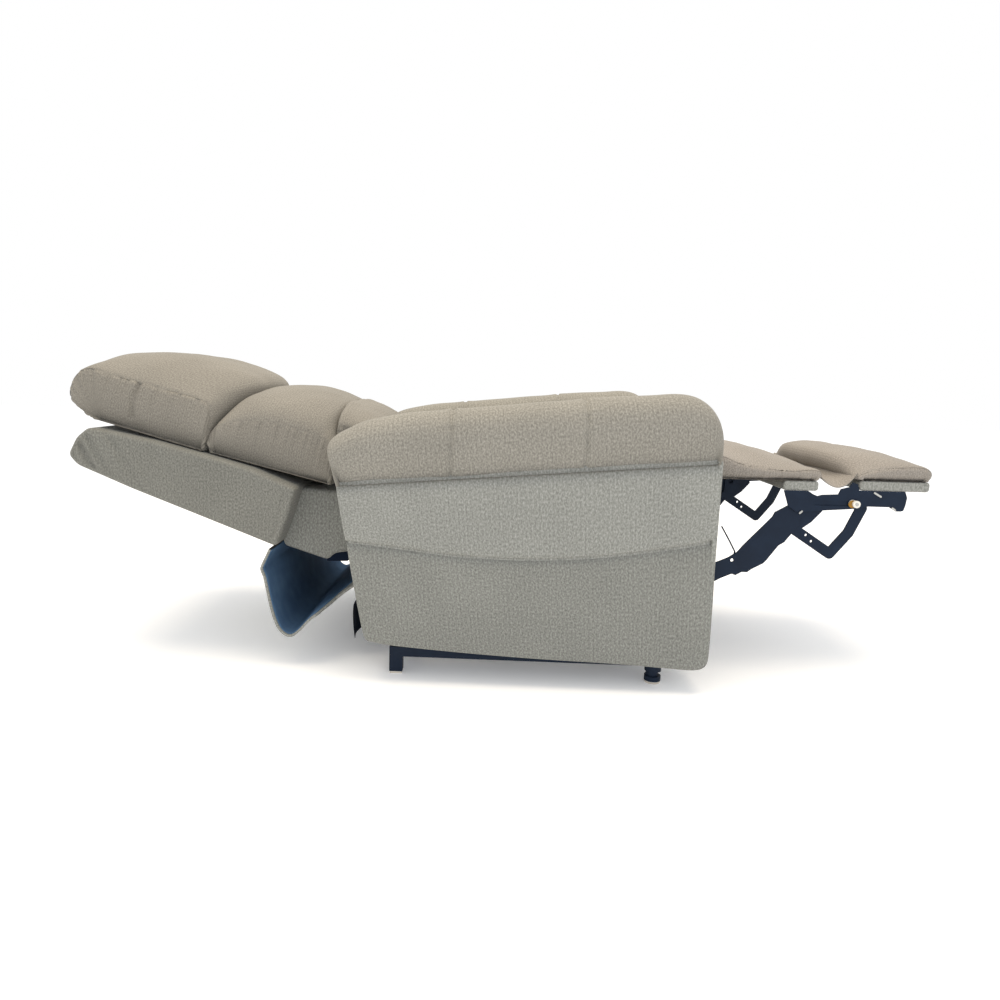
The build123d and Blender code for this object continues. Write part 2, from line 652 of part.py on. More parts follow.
def make_rear_cover():
    sheet = 6
    with BuildPart() as rear_cover_upper:
        with BuildSketch(full_width(COVER_HALF_WIDTH)):
            with BuildLine():
                Polyline(COVER_TOP, COVER_SHOULDER, (-468, 84))
            trace(line_width=sheet)
        extrude(amount=2 * COVER_HALF_WIDTH)
        with BuildSketch(Plane.YZ.offset(COVER_TOP[0] - 20)):
            for side in (-1, 1):
                outline([(side * 235, COVER_TOP[1] + 8), (side * 340, COVER_SHOULDER[1] - 4),
                         (side * 340, COVER_TOP[1] + 8)])
        extrude(amount=60, mode=Mode.SUBTRACT)
    save(rear_cover_upper, "rear_cover_upper")

    inside_arms = ARM_INNER - 5
    with BuildPart() as rear_cover_lower:
        with BuildSketch(full_width(COVER_HALF_WIDTH)):
            with BuildLine():
                Polyline(COVER_FOLD, (-375, 140))
            trace(line_width=sheet)
            with Locations(COVER_FOLD):
                Circle(sheet / 2)
        extrude(amount=2 * COVER_HALF_WIDTH)
        with BuildSketch(full_width(inside_arms)):
            with BuildLine():
                Polyline((-376, 139), (-347, 162), (-320, 179), (-236, 188))
            trace(line_width=sheet)
        extrude(amount=2 * inside_arms)
    save(rear_cover_lower, "rear_cover_lower")

    with BuildPart() as cover_hinge_rod:
        cross_tube(COVER_HINGE, ARM_INNER, radius=4)
    save(cover_hinge_rod, "cover_hinge_rod")

    with BuildPart() as rear_dust_flap:
        with BuildSketch(full_width(ARM_INNER - 7)):
            with BuildLine():
                Polyline((-268, 150), (-332, 142), (-332, 47))
            trace(line_width=2.4)
        extrude(amount=2 * (ARM_INNER - 7))
    save(rear_dust_flap, "rear_dust_flap")


# --- footrest ------------------------------------------------------------------------------------
def make_legs():
    with BuildPart() as leg_drive_links:
        with BuildSketch(*side_planes(DRIVE_LINK)):
            strip(LEG_PIVOT, LEG_KNEE, LINK_WIDTH)
            holes([LEG_KNEE], PIN_RADIUS + RUNNING_GAP)
        extrude(amount=thickness(DRIVE_LINK))
        cross_tube(LEG_PIVOT, SIDE_PLATE[1] + 2)
        lever(LEG_PIVOT, LEG_ANGLE / 2, LEG_LEVER, LEG_HALF_STROKE, LEG_Y)
    save(leg_drive_links, "leg_drive_links")

    with BuildPart() as leg_main_links:
        with BuildSketch(*side_planes(MAIN_LINK)):
            with Locations(LEG_KNEE):
                Circle(20)
            outline(MAIN_LINK_UPPER + MAIN_LINK_LOWER)
            with Locations(OTTOMAN_PIVOT):
                Circle(LINK_WIDTH / 2)
            holes([OTTOMAN_PIVOT, LEG_KNEE], PIN_RADIUS + RUNNING_GAP)
            holes([(530, 261)], SMALL_HOLE + 1)
        extrude(amount=thickness(MAIN_LINK))
        mirrored_pins([LEG_KNEE], MAIN_LINK[0] - 2, DRIVE_LINK[1] + 1, PIN_RADIUS)
    save(leg_main_links, "leg_main_links")

    with BuildPart() as leg_wires:
        with BuildSketch(*side_planes((MAIN_LINK[0] - 4, MAIN_LINK[0] - 1))):
            for start, end in zip(WIRE, WIRE[1:]):
                strip(start, end, 3)
        extrude(amount=3)
    save(leg_wires, "leg_wires")

    with BuildPart() as leg_stay_links:
        with BuildSketch(*side_planes(STAY_LINK)):
            for start, end in zip(STAY_ELBOWS, STAY_ELBOWS[1:]):
                strip(start, end, STAY_WIDTH)
            outline(STAY_HEAD)
            holes([STAY_PIVOT], PIN_RADIUS + RUNNING_GAP)
            holes([(704, 309), (691, 323)], SMALL_HOLE)
            holes([STAY_END], PIN_RADIUS + OPEN_GAP)
        extrude(amount=thickness(STAY_LINK))
    save(leg_stay_links, "leg_stay_links")

    with BuildPart() as footrest_brackets:
        with BuildSketch(*side_planes(DRIVE_LINK)):
            outline(BRACKET_LOWER + BRACKET_UPPER)
        extrude(amount=thickness(DRIVE_LINK))
        with BuildSketch(*side_planes((DRIVE_LINK[1] - 2, DRIVE_LINK[1]))):
            with Locations(BRACKET_GROOVE):
                SlotOverall(86, 11)
        extrude(amount=2, mode=Mode.SUBTRACT)
        mirrored_pins([OTTOMAN_PIVOT], MAIN_LINK[0] - 1, DRIVE_LINK[0], PIN_RADIUS)
        mirrored_pins([STAY_PIVOT], STAY_LINK[0] - 2, DRIVE_LINK[0], PIN_RADIUS)
    save(footrest_brackets, "footrest_brackets")

    roller_inner = DRIVE_LINK[1] + BUSHING[1]
    roller_outer = roller_inner + ROLLER[1]
    with BuildPart() as groove_rollers:
        mirrored_pins([ROLLER_CENTRE], roller_inner, roller_outer, ROLLER[0])
    save(groove_rollers, "groove_rollers")

    with BuildPart() as footrest_rivets:
        head = (DRIVE_LINK[1], DRIVE_LINK[1] + 2)
        with BuildSketch(*side_planes(head)):
            for start, end in BRACKET_RIVETS:
                strip(start, end, 4)
        extrude(amount=thickness(head))
        mirrored_pins([BUSHING_CENTRE], DRIVE_LINK[1], roller_inner, BUSHING[0])
        mirrored_pins([ROLLER_CENTRE], roller_outer, roller_outer + 1.5, 3.5)
    save(footrest_rivets, "footrest_rivets")

    with BuildPart() as middle_board:
        block((627, 704), (-PAD_HALF_WIDTH, PAD_HALF_WIDTH), (425, 447))
        fillet(middle_board.edges().filter_by(Axis.Y), radius=6)
    save(middle_board, "middle_board")

    with BuildPart() as foot_board:
        block((793, 944), (-PAD_HALF_WIDTH, PAD_HALF_WIDTH), (429, 451))
        fillet(foot_board.edges().filter_by(Axis.Y), radius=6)
    save(foot_board, "foot_board")

    with BuildPart() as foot_pad:
        cushion((786, 452), (941, 452), (938, 478), (792, 474),
                ((946, 464), (862, 499), (780, 462)), PAD_HALF_WIDTH, 0.94)
    save(foot_pad, "foot_pad")

    with BuildPart() as calf_pad:
        cushion((462, 450), (704, 450), (703, 466), (463, 496),
                ((708, 458), (580, 503), (458, 474)), PAD_HALF_WIDTH, 0.94)
        cross_tube(CALF_HINGE, CALF_CORD_HALF, radius=CALF_CORD_RADIUS)
    save(calf_pad, "calf_pad")

    with BuildPart() as bridge_cloth:
        with BuildSketch(full_width(PAD_HALF_WIDTH - 6)):
            with BuildLine():
                ThreePointArc((712, 459), (744, 436), (776, 459))
            trace(line_width=3)
        extrude(amount=2 * (PAD_HALF_WIDTH - 6))
    save(bridge_cloth, "bridge_cloth")


# --- handset -------------------------------------------------------------------------------------
def make_handset():
    key_rows = (405, 431, 457)
    key_columns = (HANDSET_X - 13, HANDSET_X + 13)
    with BuildPart() as handset:
        block((HANDSET_X - 29, HANDSET_X + 29), HANDSET_Y, HANDSET_Z)
        fillet(handset.edges().filter_by(Axis.Y), radius=12)
        with BuildSketch(Plane.XZ.offset(-HANDSET_Y[1])):
            with Locations(*[(x, z) for x in key_columns for z in key_rows]):
                Circle(8.3)
        extrude(amount=4, mode=Mode.SUBTRACT)
    save(handset, "handset")

    names = ("lift_key", "lower_key", "back_up_key", "back_down_key", "legs_up_key", "legs_down_key")
    places = [(x, z) for z in reversed(key_rows) for x in key_columns]
    for name, place in zip(names, places):
        with BuildPart() as key:
            with BuildSketch(Plane.XZ.offset(-HANDSET_Y[1] - 1)):
                with Locations(place):
                    Circle(8)
            extrude(amount=3)
        save(key, name)

    wall = 1.5
    pocket_x = (HANDSET_X - 31, HANDSET_X + 31)
    pocket_z = (HANDSET_Z[0] - 2, 394)
    with BuildPart() as handset_pocket:
        block((pocket_x[0] - wall, pocket_x[1] + wall), (ARM_PANEL_OUTER, HANDSET_Y[1] + 1 + wall),
              (pocket_z[0] - wall, pocket_z[1]))
        with Locations((HANDSET_X, (HANDSET_Y[0] + HANDSET_Y[1]) / 2, (pocket_z[0] + pocket_z[1]) / 2)):
            Box(pocket_x[1] - pocket_x[0], HANDSET_Y[1] - HANDSET_Y[0] + 2,
                pocket_z[1] - pocket_z[0], mode=Mode.SUBTRACT)
    save(handset_pocket, "handset_pocket")


make_base()
make_lift_links()
make_carriage()
make_seat()
make_arm(-1, "right")
make_arm(1, "left")
make_arm_pairs()
make_back()
make_rear_cover()
make_legs()
make_handset()
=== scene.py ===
"""Lift recliner chair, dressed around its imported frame.

Lengths are metres in the frame's axes: +X to the foot end, +Y to the sitter's left, +Z up.
Side outlines are shares of a solid's box, (0, 0) its lowest corner and (1, 1) its highest, seen
along +Y, so every cushion and panel takes its place and size from the frame.
"""
import math

import bmesh
import bpy
import numpy as np
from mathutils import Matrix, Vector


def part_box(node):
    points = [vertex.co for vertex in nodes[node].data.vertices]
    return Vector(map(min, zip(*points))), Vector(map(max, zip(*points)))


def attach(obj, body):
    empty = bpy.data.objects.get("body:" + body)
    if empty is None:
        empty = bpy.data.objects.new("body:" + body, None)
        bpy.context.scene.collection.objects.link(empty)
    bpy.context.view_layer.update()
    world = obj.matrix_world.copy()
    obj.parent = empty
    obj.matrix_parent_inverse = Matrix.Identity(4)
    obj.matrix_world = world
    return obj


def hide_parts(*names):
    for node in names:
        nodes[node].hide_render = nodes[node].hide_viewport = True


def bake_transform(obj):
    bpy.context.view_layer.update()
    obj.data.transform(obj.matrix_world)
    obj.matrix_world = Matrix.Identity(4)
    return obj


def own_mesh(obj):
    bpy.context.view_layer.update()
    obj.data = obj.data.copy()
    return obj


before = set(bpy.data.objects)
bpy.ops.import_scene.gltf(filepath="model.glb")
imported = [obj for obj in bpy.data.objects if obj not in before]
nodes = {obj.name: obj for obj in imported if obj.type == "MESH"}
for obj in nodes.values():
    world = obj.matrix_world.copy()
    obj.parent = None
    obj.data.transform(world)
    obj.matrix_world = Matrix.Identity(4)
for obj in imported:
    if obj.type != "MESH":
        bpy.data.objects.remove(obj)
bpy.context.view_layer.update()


# --- lines and grids --------------------------------------------------------------------------
def evenly(line, count):
    """The same line as count points, equal lengths apart."""
    steps = np.linalg.norm(np.diff(line, axis=0), axis=1)
    length = np.r_[0, np.cumsum(steps)]
    places = np.linspace(0, length[-1], count)
    return np.stack([np.interp(places, length, line[:, k]) for k in range(line.shape[1])], -1)


def smooth(points, count, closed=False):
    """A smooth line through the points, as count even points.

    Each span is the cubic (2s^3-3s^2+1) p + (s^3-2s^2+s) m + (3s^2-2s^3) q + (s^3-s^2) n, whose
    end slopes m and n come from the neighbours on both sides, weighted by the root of distance.
    """
    p = np.asarray(points, float)
    if closed:
        p = np.vstack([p[-1:], p, p[:2]])
    else:
        p = np.vstack([2 * p[0] - p[1], p, 2 * p[-1] - p[-2]])
    t = np.r_[0, np.cumsum(np.sqrt(np.linalg.norm(np.diff(p, axis=0), axis=1)))]
    slope = (p[2:] - p[:-2]) / (t[2:] - t[:-2])[:, None]
    span = np.diff(t)[1:-1, None]
    s = np.linspace(0, 1, 20, endpoint=False)[:, None, None]
    start, end, m, n = p[1:-2], p[2:-1], slope[:-1] * span, slope[1:] * span
    line = ((2 * s**3 - 3 * s**2 + 1) * start + (s**3 - 2 * s**2 + s) * m
            + (3 * s**2 - 2 * s**3) * end + (s**3 - s**2) * n)
    line = line.transpose(1, 0, 2).reshape(-1, p.shape[1])
    return evenly(np.vstack([line, p[-2:-1]]), count)


def filleted(corners, radius, count):
    """A closed outline of straight runs, as count even points, its corners rounded.

    Each corner C becomes (1-t)^2 A + 2 t (1-t) C + t^2 B, with A and B radius away on its two runs.
    """
    C = np.asarray(corners, float)
    back, ahead = np.roll(C, 1, 0) - C, np.roll(C, -1, 0) - C
    A = C + back / np.linalg.norm(back, axis=1)[:, None] * radius
    B = C + ahead / np.linalg.norm(ahead, axis=1)[:, None] * radius
    t = np.linspace(0, 1, 9)[None, :, None]
    line = (1 - t) ** 2 * A[:, None] + 2 * t * (1 - t) * C[:, None] + t**2 * B[:, None]
    line = line.reshape(-1, 2)
    return evenly(np.vstack([line, line[:1]]), count + 1)[:-1]


def in_box(node, shares):
    """Side points (X, Z) from shares of the node's box."""
    low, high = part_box(node)
    shares = np.asarray(shares, float)
    return np.stack([low.x + shares[:, 0] * (high.x - low.x),
                     low.z + shares[:, 1] * (high.z - low.z)], -1)


def nearest(path, points):
    """For each point, the nearest point of an open path of straight runs."""
    a, b = path[None, :-1], path[None, 1:]
    run = b - a
    share = ((points[:, None] - a) * run).sum(-1) / (run**2).sum(-1)
    foot = a + np.clip(share, 0, 1)[..., None] * run
    best = np.linalg.norm(points[:, None] - foot, axis=-1).argmin(1)
    return foot[np.arange(len(points)), best]


def normals(P, wrap=False):
    """Unit normals of a grid: its two directions' cross product. wrap closes the first one."""
    if wrap:
        along = np.roll(P, -1, 0) - np.roll(P, 1, 0)
    else:
        along = np.gradient(P, axis=0)
    cross = np.cross(along, np.gradient(P, axis=1))
    return cross / np.maximum(np.linalg.norm(cross, axis=-1, keepdims=True), 1e-12)


def raised(P, height, wrap=False):
    """The grid moved outwards, away from its own middle, by height along its normals."""
    normal = normals(P, wrap)
    middle = P.reshape(-1, 3).mean(0)
    outwards = 1 if ((P - middle) * normal).sum() > 0 else -1
    return P + outwards * np.asarray(height)[..., None] * normal


def ripple(place, wavelength, seed):
    """Uneven waves from -1 to 1 along a line: three sines of unrelated lengths and phases."""
    phase = np.random.default_rng(seed).uniform(0, 2 * math.pi, 3)
    waves = [np.sin(2 * math.pi * place * f / wavelength + p)
             for f, p in zip((1, 1.618, 0.53), phase)]
    return sum(waves) / 3


def bell(distance, width):
    """A rounded bump, exp(-(distance / width)^2): 1 at no distance, nearly 0 beyond two widths."""
    return np.exp(-(distance / width) ** 2)


def grid_faces(rows, columns, wrap):
    """Quads of a grid as numbers of its points; wrap joins the last row to the first."""
    i, j = np.meshgrid(np.arange(rows if wrap else rows - 1), np.arange(columns - 1), indexing="ij")
    below = (i + 1) % rows
    faces = np.stack([i * columns + j, below * columns + j, below * columns + j + 1,
                      i * columns + j + 1], -1)
    return faces, i, j


def mesh_piece(name, P, material, wrap=False, merge=0.0004, outward=True, sides=False):
    """A piece of quads over the grid P[i, j], with a map of arc lengths in metres for the weave.

    wrap joins the last row to the first. Points closer than merge become one, which closes poles.
    sides gives faces that look to the chair's side a map of Z and X instead.
    """
    P = np.asarray(P, float)
    faces, i, j = grid_faces(*P.shape[:2], wrap)
    along = np.linalg.norm(np.roll(P, -1, 0) - P, axis=2).max(1)
    across = np.linalg.norm(np.diff(P, axis=1), axis=2).max(0)
    u, v = np.r_[0, np.cumsum(along)], np.r_[0, np.cumsum(across)]
    corners = np.stack([np.stack([v[j], u[i]], -1), np.stack([v[j], u[i + 1]], -1),
                        np.stack([v[j + 1], u[i + 1]], -1), np.stack([v[j + 1], u[i]], -1)], 2)
    if sides:
        place = P.reshape(-1, 3)[faces]
        facing = np.cross(place[..., 2, :] - place[..., 0, :], place[..., 3, :] - place[..., 1, :])
        sideways = np.abs(facing[..., 1]) > 0.75 * np.linalg.norm(facing, axis=-1)
        corners[sideways] = place[sideways][..., (2, 0)]
    mesh = bpy.data.meshes.new(name)
    mesh.from_pydata(P.reshape(-1, 3).tolist(), [], faces.reshape(-1, 4).tolist())
    weave = mesh.uv_layers.new(name="weave")
    weave.data.foreach_set("uv", corners.reshape(-1).astype(np.float32))
    shape = bmesh.new()
    shape.from_mesh(mesh)
    bmesh.ops.remove_doubles(shape, verts=shape.verts, dist=merge)
    bmesh.ops.dissolve_degenerate(shape, edges=shape.edges, dist=merge / 10)
    if outward:
        bmesh.ops.recalc_face_normals(shape, faces=shape.faces)
    shape.to_mesh(mesh)
    shape.free()
    mesh.polygons.foreach_set("use_smooth", [True] * len(mesh.polygons))
    mesh.materials.append(material)
    piece = bpy.data.objects.new(name, mesh)
    bpy.context.scene.collection.objects.link(piece)
    return piece


def dome(outline, base, section, inset=0.012, width=None):
    """Grid of a cushion that stands on a straight base line.

    outline O(i) runs over the cushion from one end of the base to the other, and M(i) is the point
    of the base, shortened by inset, nearest to it. section gives pairs of y and height share s.
    A point is (M + (O - M) s, y); width scales y about its middle for each i. The base closes it.
    """
    base = np.asarray(base, float)
    run = (base[1] - base[0]) / np.linalg.norm(base[1] - base[0])
    short = np.array([base[0] + run * inset, base[1] - run * inset])
    floor = short[1] + (short[0] - short[1]) * np.linspace(0, 1, 40)[:, None]
    O = np.vstack([outline, floor])
    M = nearest(short, O)
    y, s = section[:, 0], section[:, 1]
    middle = (y.max() + y.min()) / 2
    scale = np.ones(len(O)) if width is None else np.r_[width, np.full(len(floor), width.min())]
    P = np.empty((len(O), len(section), 3))
    P[..., 0] = M[:, None, 0] + (O - M)[:, None, 0] * s
    P[..., 2] = M[:, None, 1] + (O - M)[:, None, 1] * s
    P[..., 1] = middle + (y - middle) * scale[:, None]
    return P


def prism(outline, spine, y_low, y_high, edge, rows_per_cap=10, relief=None):
    """Grid of an upholstered block: a closed side outline carried across from y_low to y_high.

    M is the point of the spine nearest to an outline point O. The edges are quarter circles of
    radius edge, on which O is drawn towards M, and each end closes as M + (O - M) s with s from
    1 to 0. relief(x, z) raises the two ends and fades out at their edges.
    """
    M = nearest(spine, outline)
    reach = np.linalg.norm(M - outline, axis=1)[:, None]
    turn = np.linspace(0, math.pi / 2, 7)
    drawn = edge * (1 - np.sin(turn))
    depth = edge * (1 - np.cos(turn))
    flat = np.linspace(y_low + edge, y_high - edge, max(3, int((y_high - y_low) / 0.012)))[1:-1]
    shares = np.linspace(0, 1, rows_per_cap, endpoint=False)
    rings = [(s, edge, y_low) for s in shares]
    rings += [(1, d, y_low + h) for d, h in zip(drawn, depth)]
    rings += [(1, 0, y) for y in flat]
    rings += [(1, d, y_high - h) for d, h in zip(drawn[::-1], depth[::-1])]
    rings += [(s, edge, y_high) for s in shares[::-1]]
    s, d, y = np.array(rings).T
    pull = np.minimum(d[:, None], 0.9 * reach[:, None])
    O = outline[:, None] + (M - outline)[:, None] / reach[:, None] * pull
    ring = M[:, None] + (O - M[:, None]) * s[:, None]
    P = np.stack([ring[..., 0], np.broadcast_to(y, ring.shape[:2]), ring[..., 1]], -1)
    if relief is not None:
        at_end = np.where(y <= y_low, -1, 0) + np.where(y >= y_high, 1, 0)
        fade = np.minimum(1, 4 * (1 - s) + (s < 1) * 0.3)
        P[..., 1] += at_end * relief(ring[..., 0], ring[..., 1]) * fade
    return P


def inflated(P, held, reach=0.016):
    """The closed grid blown up by a cloth simulation of 20 steps; points marked held stay.

    The cloth is cut 2 % larger than the shape and a pressure fills it, so it swells between its
    seams and gathers at them. No point moves further than reach.
    """
    mesh = bpy.data.meshes.new("filling")
    faces = grid_faces(*P.shape[:2], True)[0]
    mesh.from_pydata(P.reshape(-1, 3).tolist(), [], faces.reshape(-1, 4).tolist())
    body = bpy.data.objects.new("filling", mesh)
    bpy.context.scene.collection.objects.link(body)
    group = body.vertex_groups.new(name="seams")
    group.add(np.flatnonzero(held.reshape(-1)).tolist(), 1.0, "REPLACE")
    cloth = body.modifiers.new("cloth", "CLOTH")
    cloth.settings.vertex_group_mass = "seams"
    cloth.settings.use_pressure = True
    cloth.settings.uniform_pressure_force = 4
    cloth.settings.effector_weights.gravity = 0
    cloth.settings.shrink_min = -0.02
    cloth.settings.tension_stiffness = cloth.settings.compression_stiffness = 15
    cloth.settings.bending_stiffness = 0.5
    cloth.point_cache.frame_start, cloth.point_cache.frame_end = 1, 20
    for step in range(1, 21):
        bpy.context.scene.frame_set(step)
    filled = body.evaluated_get(bpy.context.evaluated_depsgraph_get()).data
    place = np.empty(P.size, np.float32)
    filled.vertices.foreach_get("co", place)
    bpy.data.objects.remove(body)
    bpy.data.meshes.remove(mesh)
    bpy.context.scene.frame_set(1)
    move = place.reshape(P.shape) - P
    length = np.linalg.norm(move, axis=-1, keepdims=True)
    return P + move * np.minimum(1, reach / np.maximum(length, 1e-9))


# --- materials --------------------------------------------------------------------------------
def linear(code):
    """An sRGB hex colour as linear red, green, blue and alpha."""
    parts = np.array([int(code[k:k + 2], 16) for k in (1, 3, 5)]) / 255
    light = np.where(parts <= 0.04045, parts / 12.92, ((parts + 0.055) / 1.055) ** 2.4)
    return (*light.tolist(), 1.0)


def add(tree, kind, inputs=None, **settings):
    """A node of the kind, with its settings; inputs are values, or outputs to link from."""
    made = tree.nodes.new("ShaderNode" + kind)
    for name, value in settings.items():
        setattr(made, name, value)
    for socket, value in (inputs or {}).items():
        if isinstance(value, bpy.types.NodeSocket):
            tree.links.new(value, made.inputs[socket])
        else:
            made.inputs[socket].default_value = value
    return made


def finish_material(name):
    material = bpy.data.materials.new(name)
    material.use_nodes = True
    tree = material.node_tree
    shader = tree.nodes["Principled BSDF"]
    return material, tree, shader


def stops(ramp, *pairs):
    """Set a colour ramp's stops from pairs of place and hex colour."""
    band = ramp.color_ramp
    while len(band.elements) < len(pairs):
        band.elements.new(0.5)
    for element, (place, code) in zip(band.elements, pairs):
        element.position, element.color = place, linear(code)
    return ramp


def woven(name, dark, mid, light, pitch=9.4, depth=0.4):
    """Polyester tweed, woven with uneven slub yarns: matt, in faint ribs flecked light and dark.

    pitch is the distance between the ribs in millimetres, and they run along the map's first axis.
    The yarn itself is finer than a render shows, so its flecks are drawn coarser: pitch / 1.7 long
    and pitch / 2.9 wide. From afar the cloth looks an even grey-beige; close by, the flecks show.
    """
    material, tree, shader = finish_material(name)
    weave = add(tree, "UVMap", uv_map="weave").outputs[0]
    # a band of the wave texture is 0.314 of its unit wide
    ribs = add(tree, "TexWave", {"Vector": weave, "Scale": 314 / pitch, "Distortion": 1.4,
                                 "Detail": 1.0}, bands_direction="Y")
    yarn = add(tree, "Mapping", {"Vector": weave, "Scale": (1700 / pitch, 2900 / pitch, 1)})
    grain = add(tree, "TexNoise", {"Vector": yarn.outputs[0], "Scale": 1, "Detail": 1,
                                   "Roughness": 0.55}, noise_dimensions="2D")
    broad = add(tree, "TexNoise", {"Vector": weave, "Scale": 7, "Detail": 2}, noise_dimensions="2D")
    # 0.64 grain + 0.055 ribs + 0.165, so that the mean falls on the middle colour
    height = add(tree, "Math", {0: ribs.outputs["Fac"], 1: 0.055, 2: 0.165},
                 operation="MULTIPLY_ADD")
    height = add(tree, "Math", {0: grain.outputs[0], 1: 0.64, 2: height.outputs[0]},
                 operation="MULTIPLY_ADD")
    colour = stops(add(tree, "ValToRGB", {"Fac": height.outputs[0]}),
                   (0.2, dark), (0.5, mid), (0.8, light))
    shade = add(tree, "MapRange", {"Value": broad.outputs[0], "From Min": 0.3, "From Max": 0.7,
                                   "To Min": 0.96, "To Max": 1.04})
    grey = add(tree, "CombineColor", {k: shade.outputs[0] for k in range(3)})
    tinted = add(tree, "Mix", {"Factor": 1.0, 6: colour.outputs[0], 7: grey.outputs[0]},
                 data_type="RGBA", blend_type="MULTIPLY")
    bump = add(tree, "Bump", {"Height": height.outputs[0], "Strength": depth, "Distance": 0.0009})
    tree.links.new(tinted.outputs[2], shader.inputs["Base Color"])
    tree.links.new(bump.outputs[0], shader.inputs["Normal"])
    shader.inputs["Roughness"].default_value = 0.92
    shader.inputs["Specular IOR Level"].default_value = 0.2
    shader.inputs["Sheen Weight"].default_value = 0.08
    shader.inputs["Sheen Roughness"].default_value = 0.55
    return material


def solid(name, base, worn, roughness, metallic=0.0, grain=0.6, depth=0.1, ior_level=0.5,
          scale=(1, 1, 1)):
    """An unwoven finish: base mottled towards worn, with a fine relief of grain millimetres."""
    material, tree, shader = finish_material(name)
    place = add(tree, "TexCoord").outputs["Object"]
    place = add(tree, "Mapping", {"Vector": place, "Scale": scale}).outputs[0]
    fine = add(tree, "TexNoise", {"Vector": place, "Scale": 1000 / grain, "Detail": 2})
    cloud = add(tree, "TexNoise", {"Vector": place, "Scale": 28, "Detail": 4})
    share = add(tree, "MapRange", {"Value": cloud.outputs[0], "From Min": 0.42, "From Max": 0.75})
    blend = add(tree, "Mix", {"Factor": share.outputs[0]}, data_type="RGBA")
    blend.inputs[6].default_value, blend.inputs[7].default_value = linear(base), linear(worn)
    rough = add(tree, "MapRange", {"Value": cloud.outputs[0], "To Min": roughness - 0.06,
                                   "To Max": roughness + 0.08})
    bump = add(tree, "Bump", {"Height": fine.outputs[0], "Strength": depth, "Distance": 0.0004})
    tree.links.new(blend.outputs[2], shader.inputs["Base Color"])
    tree.links.new(rough.outputs[0], shader.inputs["Roughness"])
    tree.links.new(bump.outputs[0], shader.inputs["Normal"])
    shader.inputs["Metallic"].default_value = metallic
    if not metallic:
        shader.inputs["Specular IOR Level"].default_value = ior_level
    return material


# Tweed: matt and flecked, so light falls off it softly and its folds read by shade alone.
tweed = woven("woven polyester tweed", "#5F605B", "#83847F", "#A3A49F")
# A darker copy of the same cloth for the lower arm panels and the lower back: painted shade, for
# the shade these low surfaces stand in.
tweed_painted_shade_lower = woven("woven polyester tweed, painted shade, lower panels", "#565752", "#777873", "#969792")
# Copies of the same cloth tinted for the ceiling light on their tops: warmer for its warm light,
# and darker on the arm tops and cushions to hold back its strength. Painted light and painted
# shade.
tweed_top_painted_light = woven("woven polyester tweed, painted light, arm tops", "#605E57", "#817E76", "#9F9C93")
tweed_pad_painted_light = woven("woven polyester tweed, painted light, leg pads", "#625D53", "#87817A", "#A59F95", pitch=7)
tweed_cushion_painted_light = woven("woven polyester tweed, painted light, cushions", "#5A5750", "#7B776F", "#979389", pitch=7.5)
# A darker copy of the same cloth for the back shell: painted shade, for the shade behind the arms.
tweed_painted_shade_back = woven("woven polyester tweed, painted shade, back panels", "#52524D", "#6E6E68", "#8A8983", pitch=8)
# Nonwoven polyester lining: a matt navy skin, mottled a little lighter at random.
lining = solid("navy nonwoven lining", "#4A6583", "#56728F", 0.85, grain=1.2, depth=0.25,
               ior_level=0.1)
# Spunbonded dust cloth: nearly black and matt.
dust_cloth = solid("black dust-cover cloth", "#0C1523", "#131D2C", 0.9, grain=1.0, depth=0.3,
                   ior_level=0.08)
# Powder coat on pressed steel: blue-black, satin, faintly pebbled.
powder = solid("powder-coated steel, blue-black", "#0F1C2D", "#142234", 0.55, grain=0.8, depth=0.12,
               ior_level=0.18)
# Bright zinc plate: grey metal with soft highlights, for pins, rods and springs.
zinc = solid("zinc-plated steel", "#B4B4B0", "#9A9A97", 0.32, metallic=1.0, grain=0.5, depth=0.08)
# Drawn brass: a warm yellow rim beside the rollers.
brass = solid("brass plate", "#8F6B33", "#6E5228", 0.4, metallic=1.0, grain=0.5, depth=0.05)
# Pressed nickel-plated glides: pale metal soles.
nickel = solid("nickel-plated glide", "#DDD6CB", "#C9C2B8", 0.45, metallic=1.0, grain=0.4,
               depth=0.06)
# Moulded ABS: spark-eroded texture that keeps its gloss low.
abs_black = solid("moulded ABS, black", "#17181B", "#202226", 0.5, grain=0.7, depth=0.2)
abs_grey = solid("moulded ABS, grey keys", "#6E7277", "#7C8085", 0.45, grain=0.7, depth=0.1)
# Turned nylon: milky white, slightly glossy.
nylon = solid("turned white nylon", "#E4E1D8", "#D2CEC3", 0.35, grain=0.8, depth=0.05)
# Sawn plywood: dry, pale brown, its grain drawn out along the board.
plywood = solid("plywood, unfinished", "#B58E5F", "#9C7547", 0.7, grain=0.9, depth=0.2,
                scale=(0.12, 1, 1))

